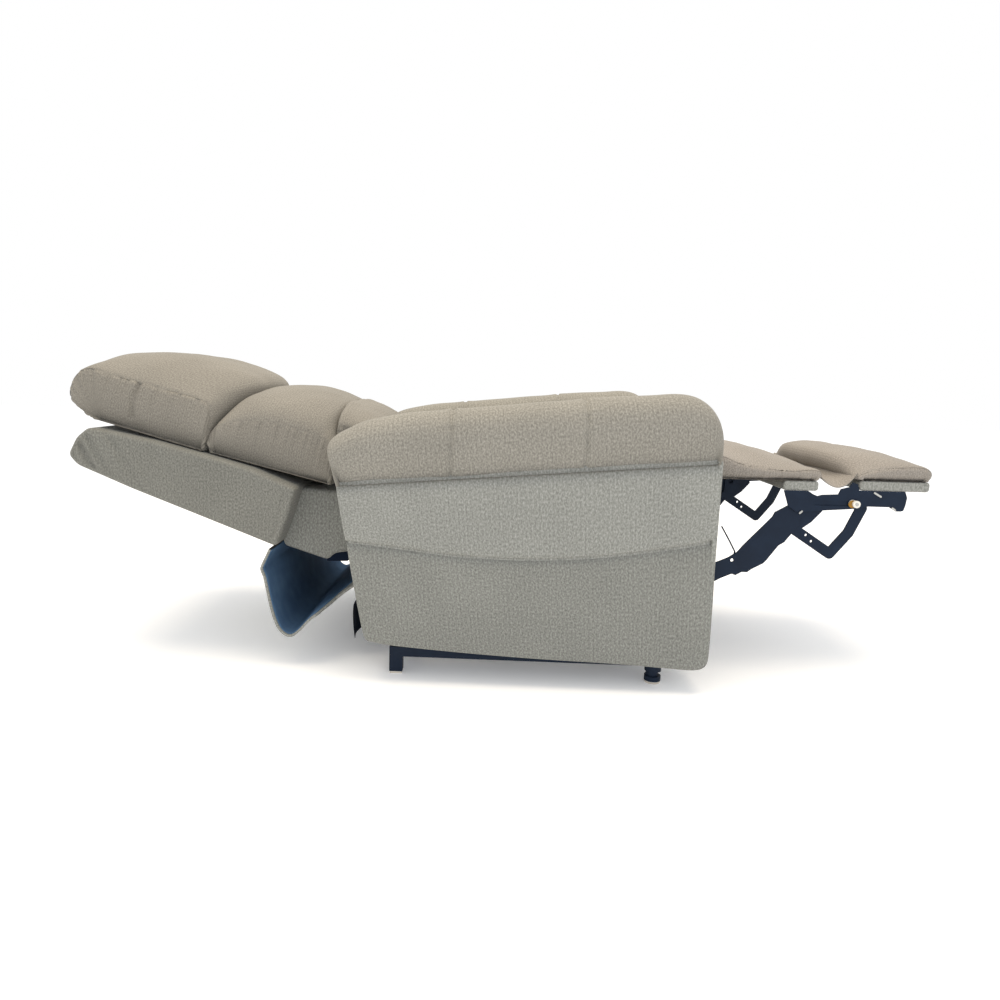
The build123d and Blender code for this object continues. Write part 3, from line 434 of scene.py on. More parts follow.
NODE_FINISH = {
    powder: ["base_frame", "front_legs", "lift_rear_links", "lift_front_links", "carriage_frame",
             "seat_side_plates", "back_brackets", "leg_drive_links", "leg_main_links",
             "footrest_brackets", "leg_stay_links", "leg_wires"],
    zinc: ["base_pins", "carriage_pins", "cover_hinge_rod", "footrest_rivets", "lift_motor_rod",
           "leg_motor_rod", "back_motor_rod", "seat_springs"],
    abs_black: ["lift_motor", "leg_motor", "back_motor", "control_box", "handset"],
    abs_grey: ["lift_key", "lower_key", "back_up_key", "back_down_key", "legs_up_key",
               "legs_down_key"],
    nickel: ["floor_glides"],
    nylon: ["groove_rollers"],
    plywood: ["arm_frames", "seat_frame"],
    # the back frame takes the black dust cloth so the gap between the shell and the lower back
    # shows dark: painted shade
    dust_cloth: ["handset_pocket", "back_frame"],
}
for finish, names in NODE_FINISH.items():
    for node in names:
        mesh = nodes[node].data
        mesh.materials.clear()
        mesh.materials.append(finish)


def dressed(piece, body, slot, *replaced, fill=None):
    """Attach a finished piece to the body it rides on and hide the parts it stands for; slot is not
    used.
    """
    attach(piece, body)
    if replaced:
        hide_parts(*replaced)
    return piece


# --- cushions ---------------------------------------------------------------------------------
CAP_ROWS, TOP_ROWS, FLOOR_ROWS = 26, 91, 24


def distance_to(path, x, z):
    """Distance in metres from each point (x, z) to a path of straight runs."""
    points = np.stack([x.ravel(), z.ravel()], -1)
    return np.linalg.norm(points - nearest(path, points), axis=1).reshape(x.shape)


def box_pillow(seam, crown, half, bulge, swell, turn, tuck=0.010):
    """Grid of a sewn box pillow, and the columns of its two long seams.

    The top between the seams is G + (C - G)(1 - |t|^swell)^turn at y = half t: the seam outline G
    at t = -1 and 1, the crown outline C in the middle; turn below 1 rounds it into the sides. Each
    side panel closes from its seam to the base line as M + (G - M) q, bowed out by
    bulge sin(pi q)^0.8 and tucked in by tuck (1 - q)^4 at the base.
    """
    base = np.array([seam[0], seam[-1]])
    run = (base[1] - base[0]) / np.linalg.norm(base[1] - base[0])
    short = base + np.array([run, -run]) * 0.012
    back = np.linspace(1, 0, FLOOR_ROWS + 2)[1:-1, None]
    G = np.vstack([seam, base[0] + (base[1] - base[0]) * back])
    C = np.vstack([crown, crown[0] + (crown[-1] - crown[0]) * back])
    M = nearest(short, G)
    t = np.sin(np.linspace(-1, 1, TOP_ROWS) * math.pi / 2)
    full = ((1 - np.abs(t) ** swell) ** turn)[None, :, None]
    top = G[:, None] + (C - G)[:, None] * full
    q = np.linspace(0, 1, CAP_ROWS, endpoint=False)
    side = M[:, None] + (G - M)[:, None] * q[None, :, None]
    side_y = half + bulge * np.sin(math.pi * q) ** 0.8 - tuck * (1 - q) ** 4
    ring = np.concatenate([side, top, side[:, ::-1]], axis=1)
    y = np.r_[-side_y, half * t, side_y[::-1]]
    P = np.stack([ring[..., 0], np.broadcast_to(y, ring.shape[:2]), ring[..., 1]], -1)
    return P, (CAP_ROWS, CAP_ROWS + TOP_ROWS - 1)


def sewn(P, columns, seed, groove, pucker=0.0042, reach=0.045):
    """Relief of the long seams: a groove along each, and puckers that fade with distance.

    The puckers are pucker exp(-d / reach) ripple above the seam, and weaker and shorter below it.
    """
    steps = np.linalg.norm(np.diff(P, axis=1), axis=2)
    across = np.concatenate([np.zeros((len(P), 1)), np.cumsum(steps, axis=1)], axis=1)
    height = np.zeros(P.shape[:2])
    for side, column in zip((-1, 1), columns):
        off = (across[:, column:column + 1] - across) * side
        seam = P[:, column]
        along = np.r_[0, np.cumsum(np.linalg.norm(np.diff(seam, axis=0), axis=1))]
        away, on_top = np.abs(off), off < 0
        height -= groove * bell(away, 0.0045)
        fade = np.where(on_top, np.exp(-away / reach), 0.4 * np.exp(-away / 0.012))
        height += pucker * fade * (1 - bell(away, 0.004)) * ripple(along, 0.022, seed)[:, None]
    return height


def cushion(name, node, body, seam, crown, half, bulge, fill, rows=150, seed=1, crease=None,
            swell=3.5, turn=1.0, reach=0.014, groove=0.0024, pucker=0.0042, cloth=tweed_cushion_painted_light):
    """A box pillow of fibre in tweed, blown up by its filling, with sewn and puckered seams."""
    G, C = smooth(in_box(node, seam), rows), smooth(in_box(node, crown), rows)
    P, columns = box_pillow(G, C, half, bulge, swell, turn)
    held = np.zeros(P.shape[:2], bool)
    held[rows:] = True
    held[0] = held[rows - 1] = True
    held[:, [0, -1, *columns]] = True
    P = inflated(P, held, reach)
    height = sewn(P, columns, seed, groove, pucker)
    place = P[..., 0] * 0.8 + P[..., 1]
    height += 0.0014 * ripple(place, 0.21, seed + 5)
    height += 0.0010 * ripple(P[..., 0] - P[..., 1], 0.13, seed + 6)
    if crease is not None:
        away = distance_to(in_box(node, crease), P[..., 0], P[..., 2])
        near = P[..., 1] < -half + 0.001
        height += near * (0.0025 * bell(away, 0.022) - 0.0075 * bell(away, 0.006))
    height[rows:] = 0
    P = raised(P, height, wrap=True)
    piece = mesh_piece(name, P, cloth, wrap=True)
    return dressed(piece, body, "fabric_taupe", node, fill=fill)


HEAD_SEAM = [(0.12, 0.30), (0.035, 0.40), (-0.022, 0.50), (-0.031, 0.55), (-0.02, 0.622),
             (0.003, 0.70), (0.053, 0.775), (0.12, 0.797), (0.192, 0.757), (0.381, 0.676),
             (0.52, 0.613), (0.688, 0.55), (0.786, 0.496), (0.813, 0.397), (0.8, 0.235),
             (0.781, 0.001)]
HEAD_CROWN = [(0.12, 0.311), (0.04, 0.388), (0, 0.505), (-0.008, 0.617), (0.008, 0.752),
              (0.048, 0.865), (0.12, 0.941), (0.24, 0.986), (0.4, 0.995), (0.533, 0.977),
              (0.666, 0.937), (0.8, 0.874), (0.893, 0.811), (0.96, 0.743), (0.992, 0.649),
              (0.965, 0.505), (0.893, 0.316), (0.781, 0.001)]
HEAD_CREASE = [(0.397, 0.662), (0.373, 0.554), (0.355, 0.464), (0.349, 0.325)]
LUMBAR_SEAM = [(0.002, 0.312), (-0.012, 0.42), (0.035, 0.53), (0.13, 0.60), (0.26, 0.635),
               (0.41, 0.64), (0.57, 0.61), (0.72, 0.56), (0.85, 0.50), (0.93, 0.43), (0.965, 0.34),
               (0.968, 0.24), (0.96, 0.12), (0.945, 0.01)]
LUMBAR_CROWN = [(0.002, 0.312), (0.009, 0.509), (0.065, 0.715), (0.158, 0.866), (0.261, 0.949),
                (0.413, 0.994), (0.586, 0.99), (0.762, 0.949), (0.901, 0.884), (0.984, 0.811),
                (1.004, 0.651), (0.99, 0.44), (0.973, 0.211), (0.949, 0.001)]
LOWER_SEAM = [(0.001, 0.028), (-0.008, 0.40), (0.06, 0.70), (0.343, 0.70), (0.684, 0.62),
              (0.869, 0.55), (0.84, 0.43), (0.704, 0.31), (0.489, 0.191)]
LOWER_CROWN = [(0.001, 0.028), (-0.008, 0.495), (0.021, 0.984), (0.343, 0.963), (0.684, 0.886),
               (0.957, 0.767), (0.957, 0.522), (0.762, 0.299), (0.508, 0.18)]
SEAT_SEAM = [(0.006, 0), (-0.001, 0.103), (0.009, 0.207), (0.128, 0.31), (0.372, 0.465),
             (0.615, 0.62), (0.829, 0.749), (0.935, 0.775), (0.978, 0.646), (0.996, 0.4),
             (0.992, 0.181), (0.981, 0)]
SEAT_CROWN = [(0.006, 0), (-0.003, 0.155), (0.009, 0.336), (0.128, 0.542), (0.372, 0.749),
              (0.615, 0.917), (0.829, 1.02), (0.935, 1.007), (0.981, 0.852), (1.001, 0.542),
              (0.995, 0.207), (0.981, 0)]
CALF_SEAM = [(0.018, 0.119), (0.002, 0.476), (0.03, 0.817), (0.114, 0.907), (0.277, 0.669),
             (0.456, 0.535), (0.687, 0.49), (0.866, 0.505), (0.974, 0.49), (1.006, 0.357),
             (0.978, 0.149)]
CALF_CROWN = [(0.018, 0.119), (-0.002, 0.624), (0.042, 0.951), (0.17, 1.115), (0.353, 1.144),
              (0.528, 1.085), (0.695, 0.936), (0.846, 0.773), (0.958, 0.609), (1.01, 0.386),
              (0.978, 0.149)]
FOOT_SEAM = [(0.074, 0), (0.03, 0.127), (0.07, 0.275), (0.212, 0.444), (0.422, 0.591),
             (0.662, 0.676), (0.872, 0.676), (0.98, 0.549), (1.016, 0.317), (0.974, 0)]
FOOT_CROWN = [(0.044, 0), (-0.075, 0.338), (-0.115, 0.75), (-0.05, 1.14), (0.22, 1.331),
              (0.548, 1.204), (0.77, 1.014), (0.938, 0.781), (1.022, 0.401), (0.974, 0)]

half_head, half_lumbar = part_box("head_pillow")[1].y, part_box("lumbar_pillow")[1].y
half_lower, half_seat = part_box("lower_pillow")[1].y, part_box("seat_cushion")[1].y
half_calf, half_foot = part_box("calf_pad")[1].y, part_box("foot_pad")[1].y
cushion("head_pillow_cover", "head_pillow", "backrest", HEAD_SEAM, HEAD_CROWN, half_head - 0.012,
        0.010, 0.75, rows=170, seed=3, crease=HEAD_CREASE)
cushion("lumbar_pillow_cover", "lumbar_pillow", "backrest", LUMBAR_SEAM, LUMBAR_CROWN,
        half_lumbar - 0.007, 0.006, 0.75, seed=11, swell=3.2, turn=0.6, groove=0)
cushion("lower_pillow_cover", "lower_pillow", "backrest", LOWER_SEAM, LOWER_CROWN,
        half_lower - 0.001, 0.001, 0.75, rows=110, seed=19, swell=3.2, turn=0.6, groove=0)
cushion("seat_cushion_cover", "seat_cushion", "carriage", SEAT_SEAM, SEAT_CROWN, half_seat - 0.002,
        0.002, 0.7, rows=170, seed=27, reach=0.008)
cushion("calf_pad_cover", "calf_pad", "calf", CALF_SEAM, CALF_CROWN, half_calf - 0.003, 0.003, 0.7,
        rows=120, seed=35, swell=2.6, reach=0.006, pucker=0.0014, cloth=tweed_pad_painted_light)
cushion("foot_pad_cover", "foot_pad", "footrest", FOOT_SEAM, FOOT_CROWN, half_foot - 0.003,
        0.003, 0.7, rows=120, seed=43, swell=4, reach=0.006, pucker=0.0014, cloth=tweed_pad_painted_light)

# --- arms -------------------------------------------------------------------------------------
ARM_SECTION = [(0.02, 0.0), (0.0, 0.2), (0.012, 0.5), (0.1, 0.8), (0.28, 0.955), (0.5, 1.0),
               (0.7, 0.975), (0.85, 0.90), (0.945, 0.79), (0.99, 0.67), (1.0, 0.57), (0.98, 0.40),
               (0.94, 0.23), (0.90, 0.09), (0.865, 0.0)]
PAD_LINE = [(0.026, -0.036), (0.017, 0.084), (0.007, 0.252), (-0.002, 0.399), (0.015, 0.498),
            (0.048, 0.577), (0.098, 0.671), (0.18, 0.745), (0.311, 0.813), (0.45, 0.876),
            (0.574, 0.928), (0.696, 0.981), (0.823, 1.023), (0.889, 1.044), (0.932, 1.023),
            (0.963, 0.955), (0.985, 0.85), (0.998, 0.713), (1.002, 0.54), (1.001, 0.394),
            (0.995, 0.32)]
PAD_CROSS_SEAMS = (0.32, 0.66)
ROLL_HEIGHT = 0.15  # metres, so that the section's points lie evenly along it
PANEL_SEAM_UP = [(0.022, 0.1), (0.064, 0.09), (0.172, 0.052), (0.307, 0), (0.44, -0.019),
                 (0.544, -0.014), (0.648, 0.009), (0.762, 0.057), (0.918, 0.152), (1.016, 0.232)]
PANEL_TOP = [(-0.007, 0.675), (0.064, 0.718), (0.171, 0.751), (0.307, 0.784), (0.477, 0.846),
             (0.646, 0.912), (0.826, 0.968), (1.016, 1.02)]
PANEL_SEAM_LOW = [(-0.008, 0.905), (0.035, 0.898), (0.146, 0.869), (0.286, 0.828), (0.423, 0.814),
                  (0.53, 0.818), (0.638, 0.836), (0.754, 0.872), (0.915, 0.945), (1.018, 1.005)]
PANEL_FOOT = [(0.043, 0.161), (0.051, 0.124), (0.071, 0.109), (0.129, 0.088), (0.332, 0.051),
              (0.534, 0.026), (0.772, 0.008), (0.90, -0.010), (0.965, -0.019), (0.995, -0.014),
              (1.012, 0.006), (1.021, 0.045)]
BODY_LINE = [(0.078, 0.094), (0.087, 0.072), (0.547, 0.016), (0.996, 0), (1, 0.009), (1, 0.985),
             (0.995, 0.994), (0.005, 0.835), (0, 0.823), (0.015, 0.7), (0.03, 0.565),
             (0.054, 0.337)]


def arm_pad(side, name):
    """Rolled arm pad: a domed roll over the sloping seam, with two sewn cross seams.

    A point (a, s) of the section stands at share a of the pad's width, from the seat outwards, and
    share s of the height from the base to PAD_LINE. The cross seams are grooves between low rolls,
    1.6 mm bell(d, 22 mm) - 5.8 mm bell(d, 3.4 mm), with puckers beside them that
    fade as exp(-d / 20 mm).
    """
    node = f"{name}_arm_top_pad"
    low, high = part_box(node)
    line = smooth(in_box(node, PAD_LINE), 220)
    inner, outer = (low.y, high.y) if side > 0 else (high.y, low.y)
    section = smooth([(inner + (outer - inner) * a, s * ROLL_HEIGHT) for a, s in ARM_SECTION], 100)
    section[:, 1] = np.clip(section[:, 1] / ROLL_HEIGHT, 0, None)
    base = np.array([line[0], line[-1]])
    ends = np.minimum(line[:, 0] - line[:, 0].min(), line[:, 0].max() - line[:, 0])
    width = 1 - 0.07 * np.clip(1 - ends / 0.05, 0, 1) ** 2
    P = dome(line, base, section, inset=0.01, width=width)
    crosses = low.x + np.array(PAD_CROSS_SEAMS) * (high.x - low.x)
    away = np.abs(P[..., 0, None] - crosses).min(-1)
    around = np.concatenate([np.zeros((len(P), 1)),
                             np.cumsum(np.linalg.norm(np.diff(P, axis=1), axis=2), axis=1)], axis=1)
    height = 0.0016 * bell(away, 0.022) - 0.0058 * bell(away, 0.0034)
    height += 0.0016 * np.exp(-away / 0.020) * ripple(around, 0.019, 51)
    height += 0.0012 * ripple(P[..., 0] + P[..., 2], 0.24, 52)
    height *= np.clip(around / 0.02, 0, 1)
    height *= np.clip((around.max(1, keepdims=True) - around) / 0.01, 0, 1)
    height[len(line):] = 0
    P = raised(P, height, wrap=True)
    pad = mesh_piece(f"{name}_arm_pad_cover", P, tweed_top_painted_light, wrap=True)
    dressed(pad, "carriage", "fabric_taupe", node, fill=0.8)


def arm_panel(side, name, part, lower, upper, below, above, cloth):
    """Padded side panel between two seam lines, thickest over its middle.

    With w = 2v - 1 from -1 at the lower seam to 1 at the upper one, the depth is
    T (1 - |w|^p)^(1/p) (1 - |2u - 1|^24)^(1/24), p being below under the middle and above over it.
    """
    node = f"{name}_arm_{part}_panel"
    low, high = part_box(node)
    thickness = high.y - low.y + 0.003
    inner = (low.y if side > 0 else high.y) - side * 0.003
    bottom, top = smooth(in_box(node, lower), 200), smooth(in_box(node, upper), 200)
    v = (1 - np.cos(np.linspace(0, math.pi, 70))) / 2
    u = (1 - np.cos(np.linspace(0, math.pi, 200))) / 2
    places = np.linspace(0, 1, 200)
    bottom = np.stack([np.interp(u, places, bottom[:, k]) for k in (0, 1)], -1)
    top = np.stack([np.interp(u, places, top[:, k]) for k in (0, 1)], -1)
    P = np.empty((len(u), len(v), 3))
    P[..., (0, 2)] = bottom[:, None] + (top - bottom)[:, None] * v[:, None]
    power = np.where(v > 0.5, above, below)
    across = (1 - np.abs(2 * v - 1) ** power) ** (1 / power)
    along = (1 - np.abs(2 * u - 1) ** 24) ** (1 / 24)
    P[..., 1] = inner + side * thickness * across * along[:, None]
    slack = 0.0010 * ripple(P[..., 0] - 0.6 * P[..., 2], 0.23, 61) * (across * along[:, None]) ** 4
    P[..., 1] += side * slack
    back = P.copy()
    back[..., 1] = inner
    closed = np.concatenate([P, back[:, ::-1], P[:, :1]], axis=1)
    panel = mesh_piece(f"{name}_arm_{part}_panel_cover", closed, cloth)
    dressed(panel, "carriage", "fabric_taupe", node, fill=0.4)


def arm_body(side, name):
    """Upholstered arm carcass with rounded edges."""
    node = f"{name}_arm_body"
    low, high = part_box(node)
    line = filleted(in_box(node, BODY_LINE), 0.004, 260)
    spine = in_box(node, [(0.2, 0.45), (0.8, 0.5)])
    P = prism(line, spine, low.y, high.y, 0.007)
    body = mesh_piece(f"{name}_arm_body_cover", P, tweed, wrap=True, sides=True)
    dressed(body, "carriage", "fabric_taupe", node)


for side, name in ((-1, "right"), (1, "left")):
    arm_body(side, name)
    arm_pad(side, name)
    arm_panel(side, name, "upper", PANEL_SEAM_UP, PANEL_TOP, 4.5, 1.7, tweed)
    # the lower panels take the darker copy of the tweed: painted shade
    arm_panel(side, name, "lower", PANEL_FOOT, PANEL_SEAM_LOW, 3.2, 1.9, tweed_painted_shade_lower)

low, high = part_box("arm_front_panels")
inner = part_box("left_arm_body")[0].y + 0.003
corner = high.x - 0.012
for side, name in ((-1, "right"), (1, "left")):
    y = sorted((side * inner, side * (high.y - 0.003)))
    corners = [(low.x - 0.002, low.z + 0.008), (corner, low.z + 0.006), (high.x, low.z + 0.022),
               (high.x, high.z), (low.x - 0.002, high.z)]
    line = filleted(corners, 0.004, 200)
    spine = np.array([(low.x + 0.003, low.z + 0.006), (low.x + 0.003, high.z - 0.006)])
    P = prism(line, spine, y[0], y[1], 0.004, rows_per_cap=3)
    front = mesh_piece(f"{name}_arm_front_cover", P, tweed, wrap=True, sides=True)
    dressed(front, "carriage", "fabric_taupe", *(["arm_front_panels"] if side < 0 else []))

# --- back -------------------------------------------------------------------------------------
SHELL = [(0.033, 0.915), (0.09, 1.004), (0.375, 0.899), (0.598, 0.79), (0.82, 0.673),
         (1.022, 0.512), (0.985, 0.27), (0.930, -0.012), (0.59, 0.24), (0.275, 0.472),
         (0.03, 0.67), (-0.008, 0.76)]
SHELL_EDGE_SEAM = [(0.972, 0.48), (0.945, 0.27), (0.905, 0.03)]
SHELL_FOLD = [(0.02, 0.86), (0.014, 0.80), (0.022, 0.74)]
LOWER_BACK = [(-0.01, 1.02), (0.571, 0.969), (0.839, 0.849), (1.009, 0.799), (1.009, 0.30),
              (0.634, 0.085), (0.50, 0.055), (0.433, -0.045), (-0.027, 0.157), (-0.03, 0.509)]


def shell_relief(x, z):
    """Seam strip beside the front edge, the fold at the head corner and gathers beside it."""
    edge = distance_to(in_box("back_shell", SHELL_EDGE_SEAM), x, z)
    fold = distance_to(in_box("back_shell", SHELL_FOLD), x, z)
    gather = ripple(x * 0.9 + z * 0.5, 0.038, 71) * np.exp(-np.clip(x - x.min(), 0, None) / 0.11)
    slack = ripple(x + 0.8 * z, 0.19, 72)
    return (-0.002 * bell(edge, 0.004) - 0.006 * bell(fold, 0.005) + 0.011 * gather
            + 0.0014 * slack)


low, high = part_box("back_shell")
line = filleted(in_box("back_shell", SHELL), 0.010, 340)
spine = in_box("back_shell", [(0.10, 0.80), (0.5, 0.58), (0.88, 0.33)])
P = prism(line, spine, low.y, high.y, 0.009, rows_per_cap=34, relief=shell_relief)
# the back shell takes the darker copy of the tweed: painted shade
shell = mesh_piece("back_shell_cover", P, tweed_painted_shade_back, wrap=True, sides=True)
dressed(shell, "backrest", "fabric_taupe", "back_shell")

low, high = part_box("lower_back_panel")
line = filleted(in_box("lower_back_panel", LOWER_BACK), 0.010, 260)
spine = in_box("lower_back_panel", [(0.2, 0.5), (0.8, 0.62)])
P = prism(line, spine, low.y, high.y, 0.009, rows_per_cap=16,
          relief=lambda x, z: 0.0012 * ripple(x + z, 0.15, 73))
# the lower back takes the darker copy of the tweed: painted shade
panel = mesh_piece("lower_back_cover", P, tweed_painted_shade_lower, wrap=True, sides=True)
dressed(panel, "backrest", "fabric_taupe", "lower_back_panel")

# dust cloth stretched under the lower back, down to its flat lower edge
UNDER_BACK = [(0.41, -0.07), (0.64, -0.06), (0.66, 0.14), (0.48, 0.14)]
line = filleted(in_box("lower_back_panel", UNDER_BACK), 0.004, 90)
spine = in_box("lower_back_panel", [(0.47, 0.03), (0.60, 0.04)])
P = prism(line, spine, low.y + 0.006, high.y - 0.006, 0.003, rows_per_cap=3)
under = mesh_piece("lower_back_dust_cloth", P, dust_cloth, wrap=True, sides=True)
dressed(under, "backrest", "fabric_dark")

# --- footrest boards and bridge cloth -----------------------------------------------------------
for node, name in (("middle_board", "middle_board_cover"), ("foot_board", "foot_board_cover")):
    low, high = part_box(node)
    line = filleted(in_box(node, [(0, 0), (1, 0), (1, 1), (0, 1)]), 0.008, 160)
    middle = (low.z + high.z) / 2
    spine = np.array([(low.x + 0.011, middle), (high.x - 0.011, middle)])
    P = prism(line, spine, low.y, high.y, 0.005, rows_per_cap=3)
    board = mesh_piece(name, P, tweed, wrap=True, sides=True)
    dressed(board, "footrest", "fabric_taupe", node)

# A side line that sags from pad to board, carried across; its middle is 12 mm tauter than its two
# edges, which wave. The sag, the lift and the waves die out as sin at the two sewn ends.
low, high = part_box("bridge_cloth")
span = smooth([(low.x - 0.008, high.z + 0.010), (low.x + 0.003, high.z - 0.006),
               (low.x + 0.020, low.z + 0.006), ((low.x + high.x) / 2 + 0.004, low.z + 0.001),
               (high.x - 0.012, low.z + 0.006), (high.x + 0.001, high.z - 0.006),
               (high.x + 0.010, high.z + 0.008)], 60)
hang = np.sin(np.linspace(0, math.pi, len(span)))[:, None]
y = np.linspace(low.y, high.y, 120)
P = np.empty((len(span), len(y), 3))
taut = 1 - np.clip(np.abs(y) / high.y, 0, 1) ** 4
P[..., 0] = span[:, None, 0] + 0.003 * ripple(y, 0.11, 9)[None] * hang
P[..., 1] = y[None]
lift = 0.012 * taut + 0.0025 * ripple(y, 0.09, 8) * (1 - taut)
P[..., 2] = span[:, None, 1] + lift[None] * hang
bridge = mesh_piece("bridge_cloth_sheet", P, tweed_pad_painted_light, outward=False)
thick = bridge.modifiers.new("thickness", "SOLIDIFY")
thick.thickness = 0.0016
thick.offset = 0
dressed(bridge, "footrest", "fabric_taupe", "bridge_cloth")
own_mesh(bridge)

# round brass plates behind the white rollers, over the ends of the zinc-plated ones
PLATE_PROFILE = [(0, 0), (0.0088, 0), (0.0088, 0.0022), (0.0082, 0.0028), (0, 0.0028)]
roller_low, roller_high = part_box("groove_rollers")
centre_x, centre_z = (roller_low.x + roller_high.x) / 2 - 0.007, (roller_low.z + roller_high.z) / 2
bracket_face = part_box("footrest_brackets")[1].y
turn = np.linspace(0, 2 * math.pi, 48, endpoint=False)
radius, depth = np.array(PLATE_PROFILE).T
for side, name in ((-1, "right"), (1, "left")):
    P = np.empty((len(turn), len(radius), 3))
    P[..., 0] = centre_x + np.cos(turn)[:, None] * radius
    P[..., 1] = side * (bracket_face + depth)
    P[..., 2] = centre_z + np.sin(turn)[:, None] * radius
    plate = mesh_piece(f"{name}_roller_plate", P, brass, wrap=True)
    dressed(plate, "footrest", "zinc_steel")

# --- rear cover -------------------------------------------------------------------------------
upper_low, upper_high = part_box("rear_cover_upper")
lower_low, lower_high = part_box("rear_cover_lower")
x0, x1, z0, z1 = lower_low.x, lower_high.x, lower_low.z, lower_high.z
COVER_THICKNESS, HEM = 0.005, 0.005
# side line from the hinge rod round the soft fold to the shoulder and up behind the shell
line = smooth([(x1, z1 - 0.003), (x1 - 0.045, z1 - 0.006), (x1 - 0.084, z1 - 0.012),
               (x1 - 0.111, z1 - 0.029), (x1 - 0.14, z1 - 0.052), (x0 + 0.05, z0 + 0.044),
               (x0 + 0.026, z0 + 0.018), (x0 + 0.008, z0 + 0.004), (x0 - 0.008, z0 + 0.006),
               (x0 - 0.024, z0 + 0.024), (x0 - 0.038, z0 + 0.066),
               (upper_low.x + 0.020, z1 + 0.012),
               (upper_low.x + 0.0135, upper_high.z - 0.041),
               (upper_low.x + 0.0150, upper_high.z - 0.032),
               (upper_low.x + 0.024, upper_high.z - 0.013),
               (upper_low.x + 0.033, upper_high.z + 0.006)], 160)
x, z = line.T
along = np.linspace(0, 1, len(line))
# the part between the arms is narrower than the part behind them
wide = np.interp(along, [0, 0.30, 0.38, 1], [upper_high.y - 0.067] * 2 + [upper_high.y] * 2)
# the hem turned over the lining is broad towards the hinge and narrow from the fold upwards
hem = np.interp(along, [0, 0.22, 0.42, 1], [0.075, 0.060, HEM, HEM])
slope = np.stack([-np.gradient(z), np.gradient(x)], -1)
slope /= np.linalg.norm(slope, axis=1)[:, None]
if ((np.array([(x.min() + x.max()) / 2, upper_high.z]) - line) * slope).sum() < 0:
    slope = -slope


def leaf(name, near, far, drawn, material):
    """A layer of the cover between two depths on its side line, drawn in from its edges.

    A point is L + n offset at y = (wide - drawn) t, t from -1 to 1: L the side line, n its normal.
    """
    y = np.linspace(-1, 1, 90)
    sheets = []
    for offset in (near, far):
        P = np.empty((len(line), len(y), 3))
        P[..., 0] = (x + slope[:, 0] * offset)[:, None]
        P[..., 2] = (z + slope[:, 1] * offset)[:, None]
        P[..., 1] = (wide - drawn)[:, None] * y
        sheets.append(P)
    ring = np.concatenate([sheets[0], sheets[1][:, ::-1], sheets[0][:, :1]], axis=1)
    return mesh_piece(name, ring, material)


outside = leaf("rear_cover_outside", -COVER_THICKNESS / 2, COVER_THICKNESS / 2, 0, tweed)
inside = leaf("rear_cover_lining", COVER_THICKNESS / 2, COVER_THICKNESS / 2 + 0.0014, hem, lining)
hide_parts("rear_cover_lower", "rear_cover_upper")
for piece in (outside, inside):
    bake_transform(piece)

# A side line over the hinge rod and straight down, carried across, with waves of up to 6 mm that
# grow as the square of the distance from the rod.
low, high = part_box("rear_dust_flap")
path = smooth([(high.x, high.z - 0.001), (high.x - 0.03, high.z - 0.005),
               (low.x + 0.012, high.z - 0.012), (low.x + 0.002, high.z - 0.024),
               (low.x + 0.001, low.z + 0.03), (low.x + 0.004, low.z)], 40)
y = np.linspace(low.y, high.y, 120)
P = np.empty((len(path), len(y), 3))
wave = np.linspace(0, 1, len(path))[:, None] ** 2 * 0.006 * ripple(y, 0.16, 12)[None]
P[..., 0], P[..., 1], P[..., 2] = path[:, None, 0] + wave, y[None], path[:, None, 1]
flap = mesh_piece("rear_dust_flap_cloth", P, dust_cloth, outward=False)
thick = flap.modifiers.new("thickness", "SOLIDIFY")
thick.thickness = 0.0012
thick.offset = 0
dressed(flap, "carriage", "fabric_dark", "rear_dust_flap")

# --- stage ------------------------------------------------------------------------------------
bpy.ops.mesh.primitive_plane_add(size=24)
floor = bpy.context.object
floor.name = "studio_floor"
paper, _, shader = finish_material("white studio paper")
shader.inputs["Base Color"].default_value = linear("#FDFDFD")
shader.inputs["Roughness"].default_value = 0.95
shader.inputs["Specular IOR Level"].default_value = 0.1
# the paper glows faintly though it is no lamp: painted light that keeps the shadows on it pale
shader.inputs["Emission Color"].default_value = (1, 1, 1, 1)
shader.inputs["Emission Strength"].default_value = 0.14
floor.data.materials.append(paper)

CEILING_POWER, SIDE_POWER = 105, 14  # watts


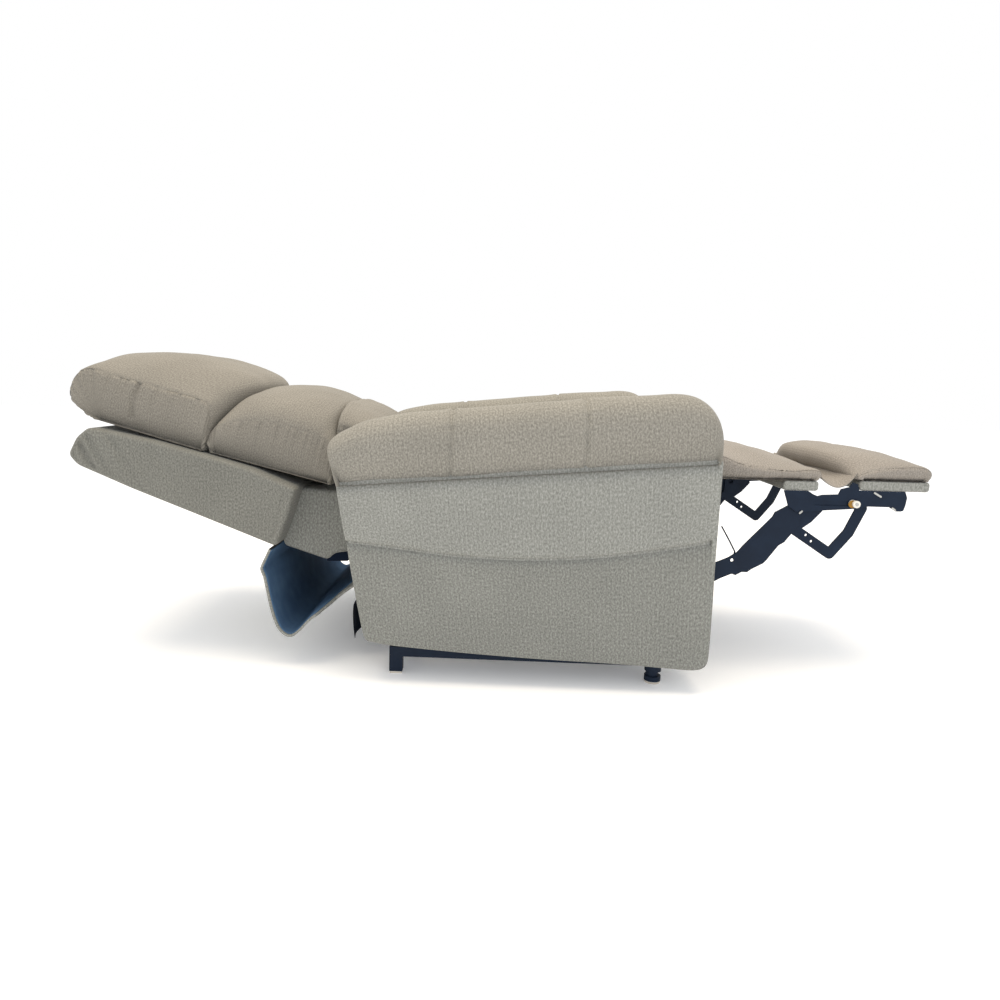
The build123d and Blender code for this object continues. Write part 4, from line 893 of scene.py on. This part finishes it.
def softbox(name, place, target, size, power, colour):
    """An area light at a place, facing a target."""
    lamp = bpy.data.lights.new(name, "AREA")
    lamp.shape, lamp.size, lamp.size_y = "RECTANGLE", *size
    lamp.energy, lamp.color = power, linear(colour)[:3]
    light = bpy.data.objects.new(name, lamp)
    bpy.context.scene.collection.objects.link(light)
    place, target = np.array(place), np.array(target)
    away = (place - target) / np.linalg.norm(place - target)
    side = np.cross((0, 0, 1) if abs(away[2]) < 0.99 else (0, 1, 0), away)
    side /= np.linalg.norm(side)
    up = np.cross(away, side)
    rows = [[side[k], up[k], away[k], place[k]] for k in range(3)] + [[0, 0, 0, 1]]
    light.matrix_world = type(light.matrix_world)(rows)


softbox("ceiling_softbox", (-0.2, -0.1, 3.2), (-0.1, 0, 0.4), (3.4, 2.6), CEILING_POWER, "#FFF0D8")
softbox("camera_side_fill", (1.0, -3.2, 1.5), (0.1, 0, 0.35), (2.4, 1.8), SIDE_POWER, "#DCE8FF")

world = bpy.data.worlds.new("studio")
bpy.context.scene.world = world
world.use_nodes = True
world.node_tree.nodes["Background"].inputs[0].default_value = (1, 1, 1, 1)
world.node_tree.nodes["Background"].inputs[1].default_value = 1.0
bpy.context.scene.view_settings.view_transform = "Standard"

# camera: about 1.9 m to the sitter's right, looking 9 degrees down
yaw, pitch, roll = (math.radians(a) for a in (-2.1297, 9.0414, 1.4487))
forward = np.array([math.sin(yaw) * math.cos(pitch), math.cos(yaw) * math.cos(pitch),
                    -math.sin(pitch)])
level = np.array([math.cos(yaw), -math.sin(yaw), 0])
upward = np.cross(level, forward)
right = math.cos(roll) * level + math.sin(roll) * upward
top = -math.sin(roll) * level + math.cos(roll) * upward
lens = bpy.data.cameras.new("camera")
lens.sensor_width = 36
lens.lens = 36 * 0.73328
lens.shift_x = 0.03653
lens.clip_start = 0.05
camera = bpy.data.objects.new("camera", lens)
bpy.context.scene.collection.objects.link(camera)
place = (-0.0216, -1.888, 0.6415)
camera.matrix_world = type(camera.matrix_world)(
    [[right[k], top[k], -forward[k], place[k]] for k in range(3)] + [[0, 0, 0, 1]])
bpy.context.scene.camera = camera
